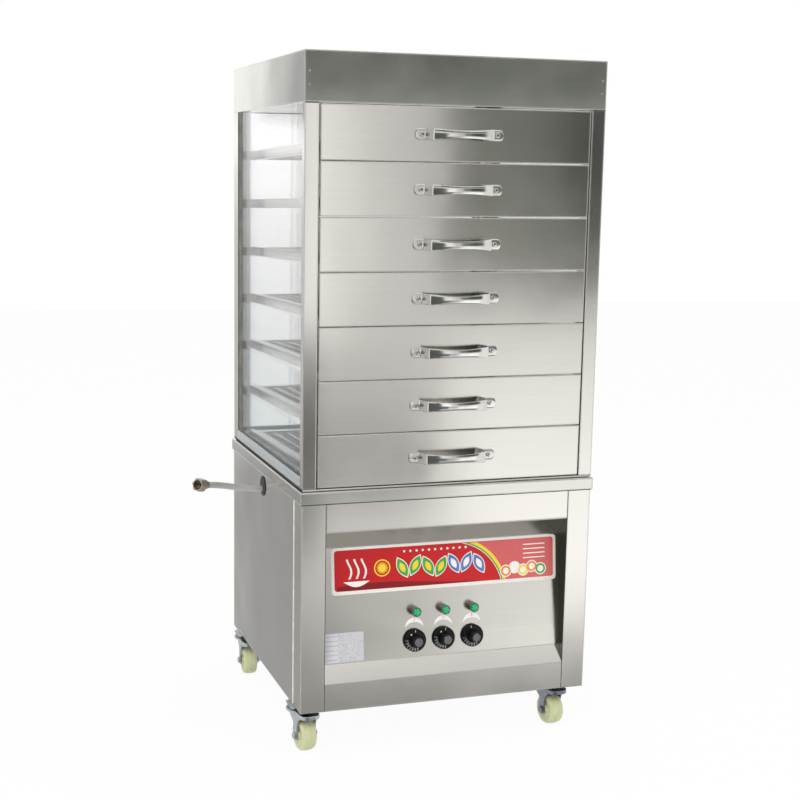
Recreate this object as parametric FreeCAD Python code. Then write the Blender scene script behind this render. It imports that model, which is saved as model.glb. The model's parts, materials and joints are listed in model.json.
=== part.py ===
import FreeCAD, Part
import math
import os

# Steam drawer cabinet on a castor-mounted steam generator base, in millimetres.
# +Z is up, the front faces -Y, and the origin is the middle of the footprint on the floor.

# Overall sizes
body_width = 600.0
body_depth = 580.0
castor_height = 88.0
base_height = 438.0
hood_height = 92.0
sheet = 1.2
fit_gap = 0.3

# Worktop that closes the base
worktop_overhang = 3.4
worktop_flange = 24.0
worktop_edge_radius = 2.5
steam_opening_margin = 10.0

# Base front: corner stiles, top rail and the recessed control panel
stile_face = 48.0
stile_side = 55.0
stile_return = 46.0
side_seam = 0.5
edge_return = 15.0
top_rail_drop = 81.4
recess_depth = 41.0
recess_band_drop = 40.6
panel_foot_depth = 17.5
panel_height = 227.4
ledge_drop = 32.8
floor_flange = 20.0
side_notch_height = 26.0

# Base back: louvres and cable gland
louvre_columns = 2
louvre_rows = 8
louvre_width = 110.0
louvre_height = 7.0
louvre_reach = 4.0
louvre_pitch = 22.0
louvre_column_pitch = 190.0
louvre_lowest = 150.0
gland_from_side = 100.0
gland_above_floor = 45.0
gland_thread_radius = 10.0
gland_nut_radius = 14.0
gland_cable_radius = 5.0
gland_reach = 18.0
gland_thread_length = 14.0
gland_collar_height = 6.0
gland_lock_nut_height = 5.0

# Steam cabinet
cabinet_back_gap = 4.0
gasket_height = 5.0
gasket_width = 14.0
gasket_inset = 3.0
post_face = 27.5
post_side = 16.0
post_tab = 24.0
rear_post_side = 37.0
rear_post_lip = 10.5
sill_height = 22.0
sill_flange = 38.0
front_sill_setback = 20.0
front_sill_height = 10.0
front_sill_depth = 25.0
glass_thickness = 4.0
hood_lip = 15.0
ceiling_flange = 20.0

# Drawers
drawer_count = 7
drawer_pitch = 101.8
front_gap = 1.5
front_side_gap = 2.5
hood_gap = 2.4
front_thickness = 18.0
front_edge_radius = 0.9
front_top_lip = 12.0
front_bottom_lip = 34.0
runner_top_above_front = 33.0
runner_height = 18.0
runner_flange = 14.5
runner_start = 18.6
runner_end_gap = 18.0
runner_fall_angle = 1.5
rail_side_gap = 1.9
tray_rim = 21.6
tray_rail_flange = 8.6
tray_cross_rim = 25.0
tray_end_gap = 40.0
grid_bar_pitch = 28.0
grid_bar_width = 5.5
grid_bar_height = 2.0
grid_rod_radius = 2.0
grid_rod_count = 8

# Drawer handles
handle_screw_span = 151.0
handle_tab_end = 12.5
handle_height = 21.0
handle_waist = 13.0
handle_strip = 2.6
handle_tab = 2.0
handle_reach = 34.0
handle_shoulder = 27.0
handle_grip_half = 59.0
handle_riser = 8.0
handle_screw_head = 4.5
handle_screw_head_height = 2.2
handle_screw_radius = 2.0
handle_nut_radius = 4.0
handle_nut_height = 3.0

# Controls, placed by their distance down the inclined panel from its top fold
control_pitch = 61.0
lamp_down = 135.8
dial_down = 194.5
lamp_bezel_radius = 9.5
lamp_reach = 18.0
lamp_body_radius = 6.0
lamp_body_length = 24.0
lamp_nut_radius = 9.0
lens_radius = 8.5
lens_seat = 4.5
lens_dome = 2.0
lens_clearance = 0.1
dial_radius = 22.7
dial_thickness = 4.5
dial_clear = 3.0
grip_radius_low = 12.4
grip_radius_high = 9.3
grip_length = 19.0
cap_radius = 8.2
cap_height = 0.8
spindle_radius = 3.0
spindle_clearance = 0.05
spindle_depth = 12.0
bushing_radius = 5.0
bushing_reach = 5.5
bushing_nut_radius = 8.0
bushing_nut_height = 2.4
thermostat_width = 40.0
thermostat_height = 44.0
thermostat_depth = 32.0
scale_outer_radius = 18.8
scale_inner_radius = 23.5
scale_top_down = 149.6
scale_width = 9.0
scale_thickness = 0.3
banner_height = 92.5
banner_left_margin = 22.0
banner_right_margin = 6.0
banner_down = 1.5
banner_thickness = 0.8
banner_corner = 7.0
rating_width = 83.0
rating_height = 58.0
rating_left_margin = 2.5
rating_down = 168.5
rating_thickness = 0.5

# Boiler tank, heaters, float valve and drain
tank_side_gap = 75.0
tank_front_gap = 110.0
tank_back_gap = 60.0
tank_height = 205.0
tank_sheet = 1.5
tank_lip = 15.0
heater_pitch = 120.0
heater_leg_spacing = 60.0
heater_rod_radius = 5.0
heater_above_tank = 20.0
heater_back_gap = 70.0
heater_plate_width = 90.0
heater_plate_height = 30.0
heater_plate_thickness = 6.0
heater_terminal_radius = 3.0
heater_terminal_length = 20.0
hole_clearance = 0.3
float_arm_length = 130.0
float_rest_angle = 35.0
float_radius = 28.0
float_rod_radius = 2.5
float_pin_radius = 2.0
float_lever_thickness = 5.0
float_lever_length = 24.0
float_rod_overlap = 4.0
valve_stem_radius = 8.0
valve_hex_radius = 14.0
valve_nut_radius = 13.0
valve_nut_height = 4.0
valve_head = 22.0
valve_head_length = 30.0
valve_hex_start = 10.0
valve_hex_length = 12.0
valve_inside = 22.0
drain_from_side = 150.0
drain_from_tank_back = 80.0
drain_pipe_radius = 11.0
drain_bore_radius = 9.0
drain_floor_clearance = 1.0
drain_mouth_radius = 7.0
drain_axis_height = 66.0
drain_body_radius = 13.0
drain_body_length = 48.0
drain_outlet_length = 20.0
drain_outlet_radius = 10.4
drain_mouth_depth = 5.0
drain_stem_radius = 4.0
drain_stem_length = 22.0
drain_stem_end = 2.0
drain_eye_wall = 2.0
drain_pipe_overlap = 2.0
drain_lever_length = 46.0
drain_lever_width = 12.0
drain_lever_thickness = 3.0
contactor_width = 48.0
contactor_depth = 60.0
contactor_height = 75.0
contactor_from_front = 200.0
contactor_above_floor = 70.0

# Water inlet hose with its grommet
hose_diameter = 13.5
hose_exit_from_front = 310.0
hose_exit_below_top = 59.5
grommet_from_front = 304.0
grommet_below_top = 51.0
grommet_radius = 20.5
grommet_neck_radius = 17.5
grommet_flange = 1.5
hose_start_inset = 38.0
hose_seat_gap = 0.2
ferrule_radius = 8.0
ferrule_length = 14.0
nut_across_flats = 24.0
nut_length = 18.0
nut_thread_radius = 9.5
nut_thread_length = 12.0
nut_seat_radius = 3.5

# Castors
castor_left_x = -283.0
castor_right_x = 245.0
castor_inset = 60.0
castor_front_swivel = 7.0
castor_rear_swivel = -4.0
castor_trail = 22.0
castor_plate = 50.0
castor_plate_thickness = 2.5
castor_plate_corner = 8.0
raceway_radius = 24.0
raceway_height = 3.5
stem_radius = 6.0
stem_length = 22.0
stem_nut_radius = 10.5
stem_nut_height = 8.0
kingpin_radius = 4.5
kingpin_head_radius = 8.0
kingpin_head_height = 3.0
swivel_gap = 1.0
turning_clearance = 0.05
fork_sheet = 3.0
fork_front = 60.0
fork_nose_radius = 15.0
fork_skirt = 8.0
fork_cup_radius = 29.0
fork_cup_height = 5.0
fork_rim_radius = 1.8
fork_knee_height = 25.0
fork_boss_radius = 10.0
wheel_radius = 31.5
wheel_width = 30.0
wheel_crown = 2.0
wheel_hub_radius = 9.5
wheel_hub_width = 34.0
wheel_web_recess = 3.0
wheel_rim = 7.0
axle_radius = 4.0
axle_head_radius = 7.0
axle_head_height = 5.0
axle_head_round = 3.0

# Levels and planes that the sizes above settle
front_y = (handle_reach - body_depth - gland_reach) / 2
back_y = front_y + body_depth
cabinet_depth = body_depth - cabinet_back_gap
cabinet_back = front_y + cabinet_depth
side_x = body_width / 2
gland_x = side_x - gland_from_side
drain_x = side_x - drain_from_side
stile_x = side_x - stile_face
post_x = side_x - post_face
base_bottom = castor_height
worktop_top = base_bottom + base_height
worktop_under = worktop_top - sheet
cabinet_bottom = worktop_top + gasket_height
stack_bottom = cabinet_bottom + front_gap
front_height = drawer_pitch - front_gap
front_width = body_width - 2 * (post_face + front_side_gap)
hood_bottom = stack_bottom + drawer_count * drawer_pitch - front_gap + hood_gap
hood_top = hood_bottom + hood_height
rail_bottom = worktop_top - top_rail_drop
panel_top_y = front_y + recess_depth
panel_top_z = rail_bottom - recess_band_drop
panel_foot_y = front_y + panel_foot_depth
panel_foot_z = panel_top_z - panel_height
lower_front_z = panel_foot_z - ledge_drop
panel_lean = math.degrees(math.atan2(panel_top_y - panel_foot_y, panel_top_z - panel_foot_z))
tank_half = side_x - tank_side_gap
tank_front = front_y + tank_front_gap
tank_back = back_y - tank_back_gap
tank_bottom = worktop_under - tank_height - tank_sheet
drain_y = tank_back - drain_from_tank_back
heater_z = tank_bottom + heater_above_tank
hose_y = front_y + hose_exit_from_front
hose_z = worktop_top - hose_exit_below_top
banner_width = 2 * stile_x - banner_left_margin - banner_right_margin
banner_x = (banner_left_margin - banner_right_margin) / 2


def point(x, y, z):
    return FreeCAD.Vector(x, y, z)


def slab(x, y, z):
    """A box from three (low, high) pairs."""
    return Part.makeBox(x[1] - x[0], y[1] - y[0], z[1] - z[0], point(x[0], y[0], z[0]))


def rod(start, end, radius):
    """A round bar between two points."""
    line = end - start
    return Part.makeCylinder(radius, line.Length, start, line)


def hexagon(start, end, radius):
    """A six-sided bar between two points; the radius is half its width across flats."""
    line = end - start
    corner = radius / math.cos(math.pi / 6)
    corners = [
        point(corner * math.cos(i * math.pi / 3), corner * math.sin(i * math.pi / 3), 0) for i in range(7)
    ]
    bar = Part.Face(Part.makePolygon(corners)).extrude(point(0, 0, line.Length))
    bar.Placement = FreeCAD.Placement(start, FreeCAD.Rotation(point(0, 0, 1), line))
    return bar


def joined(shapes):
    """One solid from shapes that meet."""
    whole = shapes[0].multiFuse(shapes[1:]) if len(shapes) > 1 else shapes[0]
    return whole.removeSplitter()


def mirrored(shape):
    """The same piece on the other side of the middle plane."""
    return shape.mirror(point(0, 0, 0), point(1, 0, 0))


def offset_path(path, thickness):
    """The path moved to its left by a thickness, with mitred corners."""
    headings = []
    for (a0, b0), (a1, b1) in zip(path, path[1:]):
        length = math.hypot(a1 - a0, b1 - b0)
        headings.append(((a1 - a0) / length, (b1 - b0) / length))
    moved = []
    for i, (a, b) in enumerate(path):
        before = headings[max(i - 1, 0)]
        after = headings[min(i, len(headings) - 1)]
        left = (-before[1] - after[1], before[0] + after[0])
        scale = thickness / (1 + before[0] * after[0] + before[1] * after[1])
        moved.append((a + left[0] * scale, b + left[1] * scale))
    return moved


def folded(path, plane, start, end, thickness=sheet):
    """A folded sheet: a path in one plane, thickened to its left and drawn out across that plane."""
    ring = path + offset_path(path, thickness)[::-1]
    ring.append(ring[0])
    if plane == "xy":
        corners = [point(a, b, start) for a, b in ring]
        travel = point(0, 0, end - start)
    elif plane == "yz":
        corners = [point(start, a, b) for a, b in ring]
        travel = point(end - start, 0, 0)
    else:
        corners = [point(a, start, b) for a, b in ring]
        travel = point(0, end - start, 0)
    return Part.Face(Part.makePolygon(corners)).extrude(travel)


def rounded_plate(x, y, z, radius):
    """A flat plate with its four upright corners rounded."""
    plate = slab(x, y, z)
    upright = [e for e in plate.Edges if abs(e.tangentAt(e.FirstParameter).z) > 0.99]
    return plate.makeFillet(radius, upright)


def on_panel(shape, x, down):
    """Seats a shape that is built flat, +Z outwards, on the inclined control panel."""
    lean = math.radians(panel_lean)
    seat = point(x, panel_top_y - down * math.sin(lean), panel_top_z - down * math.cos(lean))
    turned = shape.copy()
    turned.Placement = FreeCAD.Placement(seat, FreeCAD.Rotation(point(1, 0, 0), 90 - panel_lean))
    return turned


def save(name, *shapes):
    """Writes one sub-part; several shapes stay separate solids in its file."""
    whole = shapes[0] if len(shapes) == 1 else Part.makeCompound(list(shapes))
    whole.exportStep(os.path.join("parts", name + ".step"))
    print(name, len(whole.Solids), "solids", round(whole.Volume / 1000, 1), "cm3", whole.isValid())


# Base

def base_floor():
    """Floor pan with an upturned flange; the castor stems and the drain pass through it."""
    inner = side_x - sheet
    y = (front_y + stile_return + 1, back_y - 2 * sheet)
    pan = slab((-inner, inner), y, (base_bottom, base_bottom + floor_flange))
    well = slab((-inner + sheet, inner - sheet), (y[0] + sheet, y[1] - sheet),
                (base_bottom + sheet, base_bottom + floor_flange + 1))
    pan = pan.cut(well)
    for x, y_castor, swivel in castor_places().values():
        pan = pan.cut(rod(point(x, y_castor, base_bottom - 1), point(x, y_castor, base_bottom + 5),
                          stem_radius + hole_clearance))
    return pan.cut(rod(point(drain_x, drain_y, base_bottom - 1), point(drain_x, drain_y, base_bottom + 5),
                       drain_pipe_radius + drain_floor_clearance))


def corner_stile():
    """Left front corner: folded round the corner and back into the recess."""
    path = [(-side_x, front_y + stile_side), (-side_x, front_y), (-stile_x, front_y),
            (-stile_x, front_y + stile_return)]
    return folded(path, "xy", base_bottom, worktop_under)


def side_panel():
    """Left side sheet with folded edges; the front fold is notched over the floor pan and castor stem."""
    start = front_y + stile_side + side_seam
    path = [(-side_x + edge_return, start), (-side_x, start), (-side_x, back_y),
            (-side_x + edge_return, back_y)]
    notch = slab((-side_x + sheet, -side_x + edge_return + 1), (start - 1, start + sheet + 1),
                 (base_bottom - 1, base_bottom + side_notch_height))
    return folded(path, "xy", base_bottom, worktop_under, -sheet).cut(notch)


def side_panel_left():
    """The left side also has the round hole for the hose grommet."""
    y = front_y + grommet_from_front
    z = worktop_top - grommet_below_top
    hole = rod(point(-side_x - 1, y, z), point(-side_x + 5, y, z), grommet_neck_radius + hole_clearance)
    return side_panel().cut(hole)


def top_rail():
    """Channel across the front under the worktop."""
    path = [(front_y + edge_return, rail_bottom), (front_y, rail_bottom), (front_y, worktop_under),
            (front_y + edge_return, worktop_under)]
    return folded(path, "yz", -stile_x, stile_x, -sheet)


def control_panel():
    """One folded sheet: recess band, inclined panel, sloping ledge, lower front and bottom return."""
    path = [(front_y + edge_return, rail_bottom), (front_y, rail_bottom), (panel_top_y, panel_top_z),
            (panel_foot_y, panel_foot_z), (front_y, lower_front_z),
            (front_y, base_bottom), (front_y + stile_return, base_bottom)]
    panel = folded(path, "yz", -stile_x, stile_x)
    for i in (-1, 0, 1):
        for down, radius in ((lamp_down, lamp_body_radius), (dial_down, bushing_radius)):
            drill = rod(point(0, 0, -10), point(0, 0, 10), radius + hole_clearance)
            panel = panel.cut(on_panel(drill, i * control_pitch, down))
    return panel


def louvre(x, z):
    """One pressed louvre: a sloping hood over its slot, open downwards."""
    face = back_y - sheet
    path = [(face, z + louvre_height), (face + louvre_reach, z)]
    return folded(path, "yz", x - louvre_width / 2, x + louvre_width / 2, -sheet)


def back_panel():
    """Back sheet between the side panels' returns, with louvres and the gland hole."""
    inner = side_x - sheet
    panel = slab((-inner, inner), (back_y - 2 * sheet, back_y - sheet), (base_bottom, worktop_under))
    hoods = []
    slots = []
    for column in range(louvre_columns):
        x = (column - (louvre_columns - 1) / 2) * louvre_column_pitch
        for row in range(louvre_rows):
            z = base_bottom + louvre_lowest + row * louvre_pitch
            slots.append(slab((x - louvre_width / 2 + sheet, x + louvre_width / 2 - sheet),
                              (back_y - 3 * sheet, back_y), (z + sheet, z + louvre_height - sheet)))
            hoods.append(louvre(x, z))
    z_gland = base_bottom + gland_above_floor
    slots.append(rod(point(gland_x, back_y - 3 * sheet, z_gland), point(gland_x, back_y, z_gland),
                     gland_thread_radius + hole_clearance))
    return joined([panel.cut(Part.makeCompound(slots))] + hoods)


def cable_gland():
    """Threaded gland with its lock nut inside and its dome nut outside; the bore takes the cable."""
    z = base_bottom + gland_above_floor
    y = back_y - sheet
    inside = y - sheet
    collar = y + gland_collar_height
    thread_end = y - gland_thread_length
    pieces = [
        rod(point(gland_x, thread_end, z), point(gland_x, collar, z), gland_thread_radius),
        hexagon(point(gland_x, y, z), point(gland_x, collar, z), gland_nut_radius),
        rod(point(gland_x, collar, z), point(gland_x, back_y + gland_reach, z), gland_nut_radius - 2),
        hexagon(point(gland_x, inside - gland_lock_nut_height, z), point(gland_x, inside, z),
                gland_nut_radius),
    ]
    bore = rod(point(gland_x, thread_end - 1, z), point(gland_x, back_y + gland_reach + 1, z),
               gland_cable_radius)
    return joined(pieces).cut(bore)


def worktop():
    """Pan that closes the base: a turned-down edge all round and the steam opening over the tank."""
    over = worktop_overhang
    x = (-side_x - over, side_x + over)
    y = (front_y - over, back_y + over)
    top = slab(x, y, (worktop_top - worktop_flange, worktop_top))
    rim = [e for e in top.Edges if e.BoundBox.ZMin > worktop_top - 0.01]
    top = top.makeFillet(worktop_edge_radius, rim)
    well = slab((x[0] + sheet, x[1] - sheet), (y[0] + sheet, y[1] - sheet),
                (worktop_top - worktop_flange - 1, worktop_under))
    margin = steam_opening_margin
    half = tank_half - margin
    opening = slab((-half, half), (tank_front + margin, tank_back - margin),
                   (worktop_under - 5, worktop_top + 5))
    return top.cut(well).cut(opening)


# Steam generator inside the base

def heater_places():
    return [i * heater_pitch for i in (-1, 0, 1)]


def boiler_tank():
    """Open-topped water tank welded under the worktop."""
    half = tank_half
    y = (tank_front, tank_back)
    shell = slab((-half, half), y, (tank_bottom, worktop_under))
    lip = slab((-half - tank_lip, half + tank_lip), (y[0] - tank_lip, y[1] + tank_lip),
               (worktop_under - tank_sheet, worktop_under))
    water = slab((-half + tank_sheet, half - tank_sheet), (y[0] + tank_sheet, y[1] - tank_sheet),
                 (tank_bottom + tank_sheet, worktop_under + 1))
    tank = joined([shell, lip]).cut(water)
    holes = []
    for x in heater_places():
        for leg in (-heater_leg_spacing / 2, heater_leg_spacing / 2):
            holes.append(rod(point(x + leg, y[0] - 5, heater_z), point(x + leg, y[0] + 5, heater_z),
                             heater_rod_radius + hole_clearance))
    holes.append(rod(point(-half - 5, hose_y, hose_z), point(-half + 5, hose_y, hose_z),
                     valve_stem_radius + hole_clearance))
    holes.append(rod(point(drain_x, drain_y, tank_bottom - 5), point(drain_x, drain_y, tank_bottom + 5),
                     drain_bore_radius))
    return tank.cut(Part.makeCompound(holes))


def heating_element(x):
    """Tubular heater: two legs and a half-turn on a plate bolted to the tank's front wall."""
    turn_y = tank_back - heater_back_gap
    bend = heater_leg_spacing / 2
    root = tank_front - heater_plate_thickness / 2
    run = Part.Wire([
        Part.LineSegment(point(x - bend, root, heater_z), point(x - bend, turn_y, heater_z)).toShape(),
        Part.Arc(point(x - bend, turn_y, heater_z), point(x, turn_y + bend, heater_z),
                 point(x + bend, turn_y, heater_z)).toShape(),
        Part.LineSegment(point(x + bend, turn_y, heater_z), point(x + bend, root, heater_z)).toShape(),
    ])
    ring = Part.Circle(point(x - bend, root, heater_z), point(0, 1, 0), heater_rod_radius)
    half_width = heater_plate_width / 2
    half_height = heater_plate_height / 2
    pieces = [
        run.makePipeShell([Part.Wire(ring.toShape())], True, False),
        slab((x - half_width, x + half_width), (tank_front - heater_plate_thickness, tank_front),
             (heater_z - half_height, heater_z + half_height)),
    ]
    for leg in (x - bend, x + bend):
        pieces.append(rod(point(leg, tank_front - heater_plate_thickness - heater_terminal_length, heater_z),
                          point(leg, root, heater_z), heater_terminal_radius))
    return joined(pieces)


def float_hinge():
    """Where the float arm's pin sits, inside the tank."""
    return point(-tank_half + tank_sheet + valve_inside + valve_head_length / 2, hose_y, hose_z)


def float_valve():
    """Brass inlet valve through the tank wall: spigot, hexagon, two nuts and a forked head with its pin."""
    inlet = point(-side_x + hose_start_inset + hose_seat_gap, hose_y, hose_z)
    wall_out = -tank_half
    wall_in = wall_out + tank_sheet
    hinge = float_hinge()

    def at(x):
        return point(x, hose_y, hose_z)

    hex_start = inlet.x + valve_hex_start
    head_start = wall_in + valve_inside
    half = valve_head / 2
    head = slab((head_start, head_start + valve_head_length), (hose_y - half, hose_y + half),
                (hose_z - half, hose_z + half))
    slot_half = float_lever_thickness / 2 + fit_gap
    slot = slab((head_start + 6, head_start + valve_head_length + 1),
                (hose_y - slot_half, hose_y + slot_half), (hose_z - half - 1, hose_z + half + 1))
    pin = rod(point(hinge.x, hose_y - half, hinge.z), point(hinge.x, hose_y + half, hinge.z),
              float_pin_radius)
    return joined([
        rod(inlet, at(head_start), valve_stem_radius),
        hexagon(at(hex_start), at(hex_start + valve_hex_length), valve_hex_radius),
        hexagon(at(wall_out - valve_nut_height), at(wall_out), valve_nut_radius),
        hexagon(at(wall_in), at(wall_in + valve_nut_height), valve_nut_radius),
        head.cut(slot),
        pin,
    ])


def float_arm():
    """Lever, rod and hollow ball, hanging at the lower stop."""
    hinge = float_hinge()
    half = float_lever_thickness / 2
    eye = rod(point(0, -half, 0), point(0, half, 0), float_pin_radius + 3)
    lever = slab((0, float_lever_length), (-half, half), (-4, 4))
    wire = rod(point(float_lever_length - float_rod_overlap, 0, 0),
               point(float_arm_length - float_radius + 2, 0, 0), float_rod_radius)
    ball = Part.makeSphere(float_radius, point(float_arm_length, 0, 0))
    ball = ball.cut(Part.makeSphere(float_radius - 1.5, point(float_arm_length, 0, 0)))
    bore = rod(point(0, -half - 1, 0), point(0, half + 1, 0), float_pin_radius + turning_clearance)
    arm = joined([eye, lever, wire, ball]).cut(bore)
    arm.Placement = FreeCAD.Placement(hinge, FreeCAD.Rotation(point(0, 1, 0), float_rest_angle))
    return arm


def drain_valve_start():
    return drain_y + drain_pipe_radius


def drain_valve():
    """Drain pipe from the tank down through the floor, an elbow and a ball valve facing back."""
    y = drain_y
    z = drain_axis_height
    start = drain_valve_start()
    end = start + drain_body_length
    middle = (start + end) / 2
    stem = rod(point(drain_x, middle, z), point(drain_x - drain_stem_length, middle, z), drain_stem_radius)
    pieces = [
        rod(point(drain_x, y, tank_bottom), point(drain_x, y, z), drain_pipe_radius),
        Part.makeSphere(drain_pipe_radius, point(drain_x, y, z)),
        rod(point(drain_x, y, z), point(drain_x, start + drain_pipe_overlap, z), drain_pipe_radius),
        hexagon(point(drain_x, start, z), point(drain_x, end, z), drain_body_radius),
        rod(point(drain_x, end, z), point(drain_x, end + drain_outlet_length, z), drain_outlet_radius),
    ]
    down_bore = rod(point(drain_x, y, tank_bottom + 1), point(drain_x, y, z), drain_bore_radius)
    out_bore = rod(point(drain_x, end - drain_mouth_depth, z),
                   point(drain_x, end + drain_outlet_length + 1, z), drain_mouth_radius)
    return joined([joined(pieces).cut(down_bore).cut(out_bore), stem])


def drain_lever():
    """Closed lever on the valve's stem: it hangs down and swings back to open."""
    middle = drain_valve_start() + drain_body_length / 2
    x = drain_x - drain_stem_length + drain_stem_end
    half = drain_lever_width / 2
    blade = slab((x, x + drain_lever_thickness), (middle - half, middle + half),
                 (drain_axis_height - drain_lever_length, drain_axis_height))
    eye = rod(point(x, middle, drain_axis_height),
              point(x + drain_lever_thickness, middle, drain_axis_height), half + drain_eye_wall)
    bore = rod(point(x - 1, middle, drain_axis_height), point(x + 9, middle, drain_axis_height),
               drain_stem_radius + turning_clearance)
    return joined([blade, eye]).cut(bore)


def contactor():
    """Switchgear block on the right side panel."""
    inner = side_x - sheet
    y = front_y + contactor_from_front
    z = base_bottom + contactor_above_floor
    block = slab((inner - contactor_width, inner), (y, y + contactor_depth), (z, z + contactor_height))
    face = inner - contactor_width
    grooves = []
    for i in (1, 2, 3):
        groove_y = y + i * contactor_depth / 4
        for edge in (z, z + contactor_height - 14):
            grooves.append(slab((face - 1, face + 8), (groove_y - 4, groove_y + 4), (edge - 1, edge + 15)))
    return block.cut(Part.makeCompound(grooves))


# Controls on the inclined panel

def thermostat():
    """Regulator body behind the panel, with its threaded bushing and nut through it."""
    half_width = thermostat_width / 2
    half_height = thermostat_height / 2
    body = slab((-half_width, half_width), (-half_height, half_height), (-sheet - thermostat_depth, -sheet))
    bushing = rod(point(0, 0, -sheet - 5), point(0, 0, bushing_reach), bushing_radius)
    nut = hexagon(point(0, 0, 0), point(0, 0, bushing_nut_height), bushing_nut_radius)
    bore = rod(point(0, 0, -sheet - spindle_depth), point(0, 0, bushing_reach + 1),
               spindle_radius + spindle_clearance)
    return joined([body, bushing, nut]).cut(bore)


def control_knob():
    """Skirted dial with a tapered grip, a metal cap and its spindle."""
    skirt_top = dial_clear + dial_thickness
    tip = skirt_top + grip_length
    skirt = Part.makeCone(dial_radius, dial_radius - 1.5, dial_thickness, point(0, 0, dial_clear))
    grip = Part.makeCone(grip_radius_low, grip_radius_high, grip_length, point(0, 0, skirt_top))
    cap = rod(point(0, 0, tip), point(0, 0, tip + cap_height), cap_radius)
    hollow = rod(point(0, 0, dial_clear - 1), point(0, 0, bushing_reach + 1), bushing_radius + 1)
    spindle = rod(point(0, 0, 0.5 - sheet - spindle_depth), point(0, 0, tip - 4), spindle_radius)
    knob = joined([skirt, grip, cap]).cut(hollow)
    pointer = slab((-1.2, 1.2), (grip_radius_low, dial_radius - 2), (skirt_top - 0.5, skirt_top + 1.2))
    return joined([knob, spindle, pointer])


def pilot_lamp():
    """Chrome bezel with a cup for the lens, its body behind the panel and the fixing nut."""
    bezel = rod(point(0, 0, 0), point(0, 0, lamp_reach), lamp_bezel_radius)
    bezel = bezel.makeFillet(0.8, [e for e in bezel.Edges if abs(e.BoundBox.ZMin - lamp_reach) < 0.01])
    cup = rod(point(0, 0, lamp_reach - lens_seat), point(0, 0, lamp_reach + 1), lens_radius + lens_clearance)
    body = rod(point(0, 0, -lamp_body_length), point(0, 0, 1), lamp_body_radius)
    nut = hexagon(point(0, 0, -sheet - 3), point(0, 0, -sheet), lamp_nut_radius)
    return joined([bezel, body, nut]).cut(cup)


def pilot_lens():
    """Green lens: a drum with a shallow bevelled top, seated in the bezel's cup."""
    drum = rod(point(0, 0, lamp_reach - lens_seat), point(0, 0, lamp_reach), lens_radius)
    crown = Part.makeCone(lens_radius, lens_radius * 0.55, lens_dome, point(0, 0, lamp_reach))
    return joined([drum, crown])


def dial_scale():
    """Crescent-shaped sticker above a dial."""
    outer = rod(point(0, 0, 0), point(0, 0, scale_thickness), scale_outer_radius)
    inner_centre = scale_outer_radius - scale_width - scale_inner_radius
    inner = rod(point(0, inner_centre, -1), point(0, inner_centre, 1), scale_inner_radius)
    return outer.cut(inner)


def on_each_control(shape, down):
    return [on_panel(shape, i * control_pitch, down) for i in (-1, 0, 1)]


def banner_plate():
    """Long printed plate at the top of the inclined panel."""
    half = banner_width / 2
    plate = rounded_plate((-half, half), (-banner_height, 0), (0, banner_thickness), banner_corner)
    return on_panel(plate, banner_x, banner_down)


def rating_plate():
    """Small ruled plate in the lower left corner of the inclined panel."""
    plate = slab((0, rating_width), (-rating_height, 0), (0, rating_thickness))
    return on_panel(plate, -stile_x + rating_left_margin, rating_down)


# Cabinet

def front_post():
    """Left front post: folded channel with a tab that carries the runners' front ends."""
    path = [(-side_x, front_y + post_side), (-side_x, front_y), (-post_x, front_y),
            (-post_x, front_y + post_side)]
    channel = folded(path, "xy", cabinet_bottom, hood_bottom)
    tab = slab((-post_x - sheet, -post_x), (front_y + post_side, front_y + post_side + post_tab),
               (cabinet_bottom + front_sill_height, hood_bottom - front_sill_height))
    return joined([channel, tab])


def rear_post():
    """Left rear post: outer wall, back wall with a lip for the back glass, and an inner wall."""
    start = cabinet_back - rear_post_side
    path = [(-side_x, start), (-side_x, cabinet_back), (-post_x + rear_post_lip, cabinet_back)]
    outside = folded(path, "xy", cabinet_bottom, hood_bottom, -sheet)
    inside = slab((-post_x - sheet, -post_x), (start, cabinet_back - sheet), (cabinet_bottom, hood_bottom))
    return joined([outside, inside])


def cabinet_sills():
    """Folded sills between the posts; they carry the glass and close the cabinet's foot."""
    side_path = [(-side_x, cabinet_bottom + sill_height), (-side_x, cabinet_bottom),
                 (-side_x + sill_flange, cabinet_bottom)]
    left = folded(side_path, "xz", front_y + post_side, cabinet_back - rear_post_side)
    rear_path = [(cabinet_back, cabinet_bottom + sill_height), (cabinet_back, cabinet_bottom),
                 (cabinet_back - sill_flange, cabinet_bottom)]
    half = post_x - rear_post_lip
    rear = folded(rear_path, "yz", -half, half, -sheet)
    sill_y = front_y + front_sill_setback
    front_path = [(sill_y, cabinet_bottom + front_sill_height), (sill_y, cabinet_bottom),
                  (sill_y + front_sill_depth, cabinet_bottom)]
    inside = side_x - sill_flange
    front = folded(front_path, "yz", -inside, inside)
    return left, mirrored(left), rear, front


def glass_side():
    """Left pane, held in the posts' channels and standing on the sill."""
    outer = side_x - sheet - fit_gap
    return slab((-outer, -outer + glass_thickness),
                (front_y + sheet + 1, cabinet_back - rear_post_side + 9),
                (cabinet_bottom + sheet, hood_bottom - fit_gap))


def glass_back():
    """Back pane, in front of the rear posts' lips."""
    half = post_x - front_side_gap
    rear = cabinet_back - sheet - fit_gap
    return slab((-half, half), (rear - glass_thickness, rear),
                (cabinet_bottom + sheet, hood_bottom - fit_gap))


def cabinet_gasket():
    """Black rubber strip between the worktop and the cabinet."""
    x = side_x - gasket_inset
    y = (front_y + gasket_inset, cabinet_back - gasket_inset)
    outer = slab((-x, x), y, (worktop_top, cabinet_bottom))
    inner = slab((-x + gasket_width, x - gasket_width), (y[0] + gasket_width, y[1] - gasket_width),
                 (worktop_top - 1, cabinet_bottom + 1))
    return outer.cut(inner)


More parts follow.
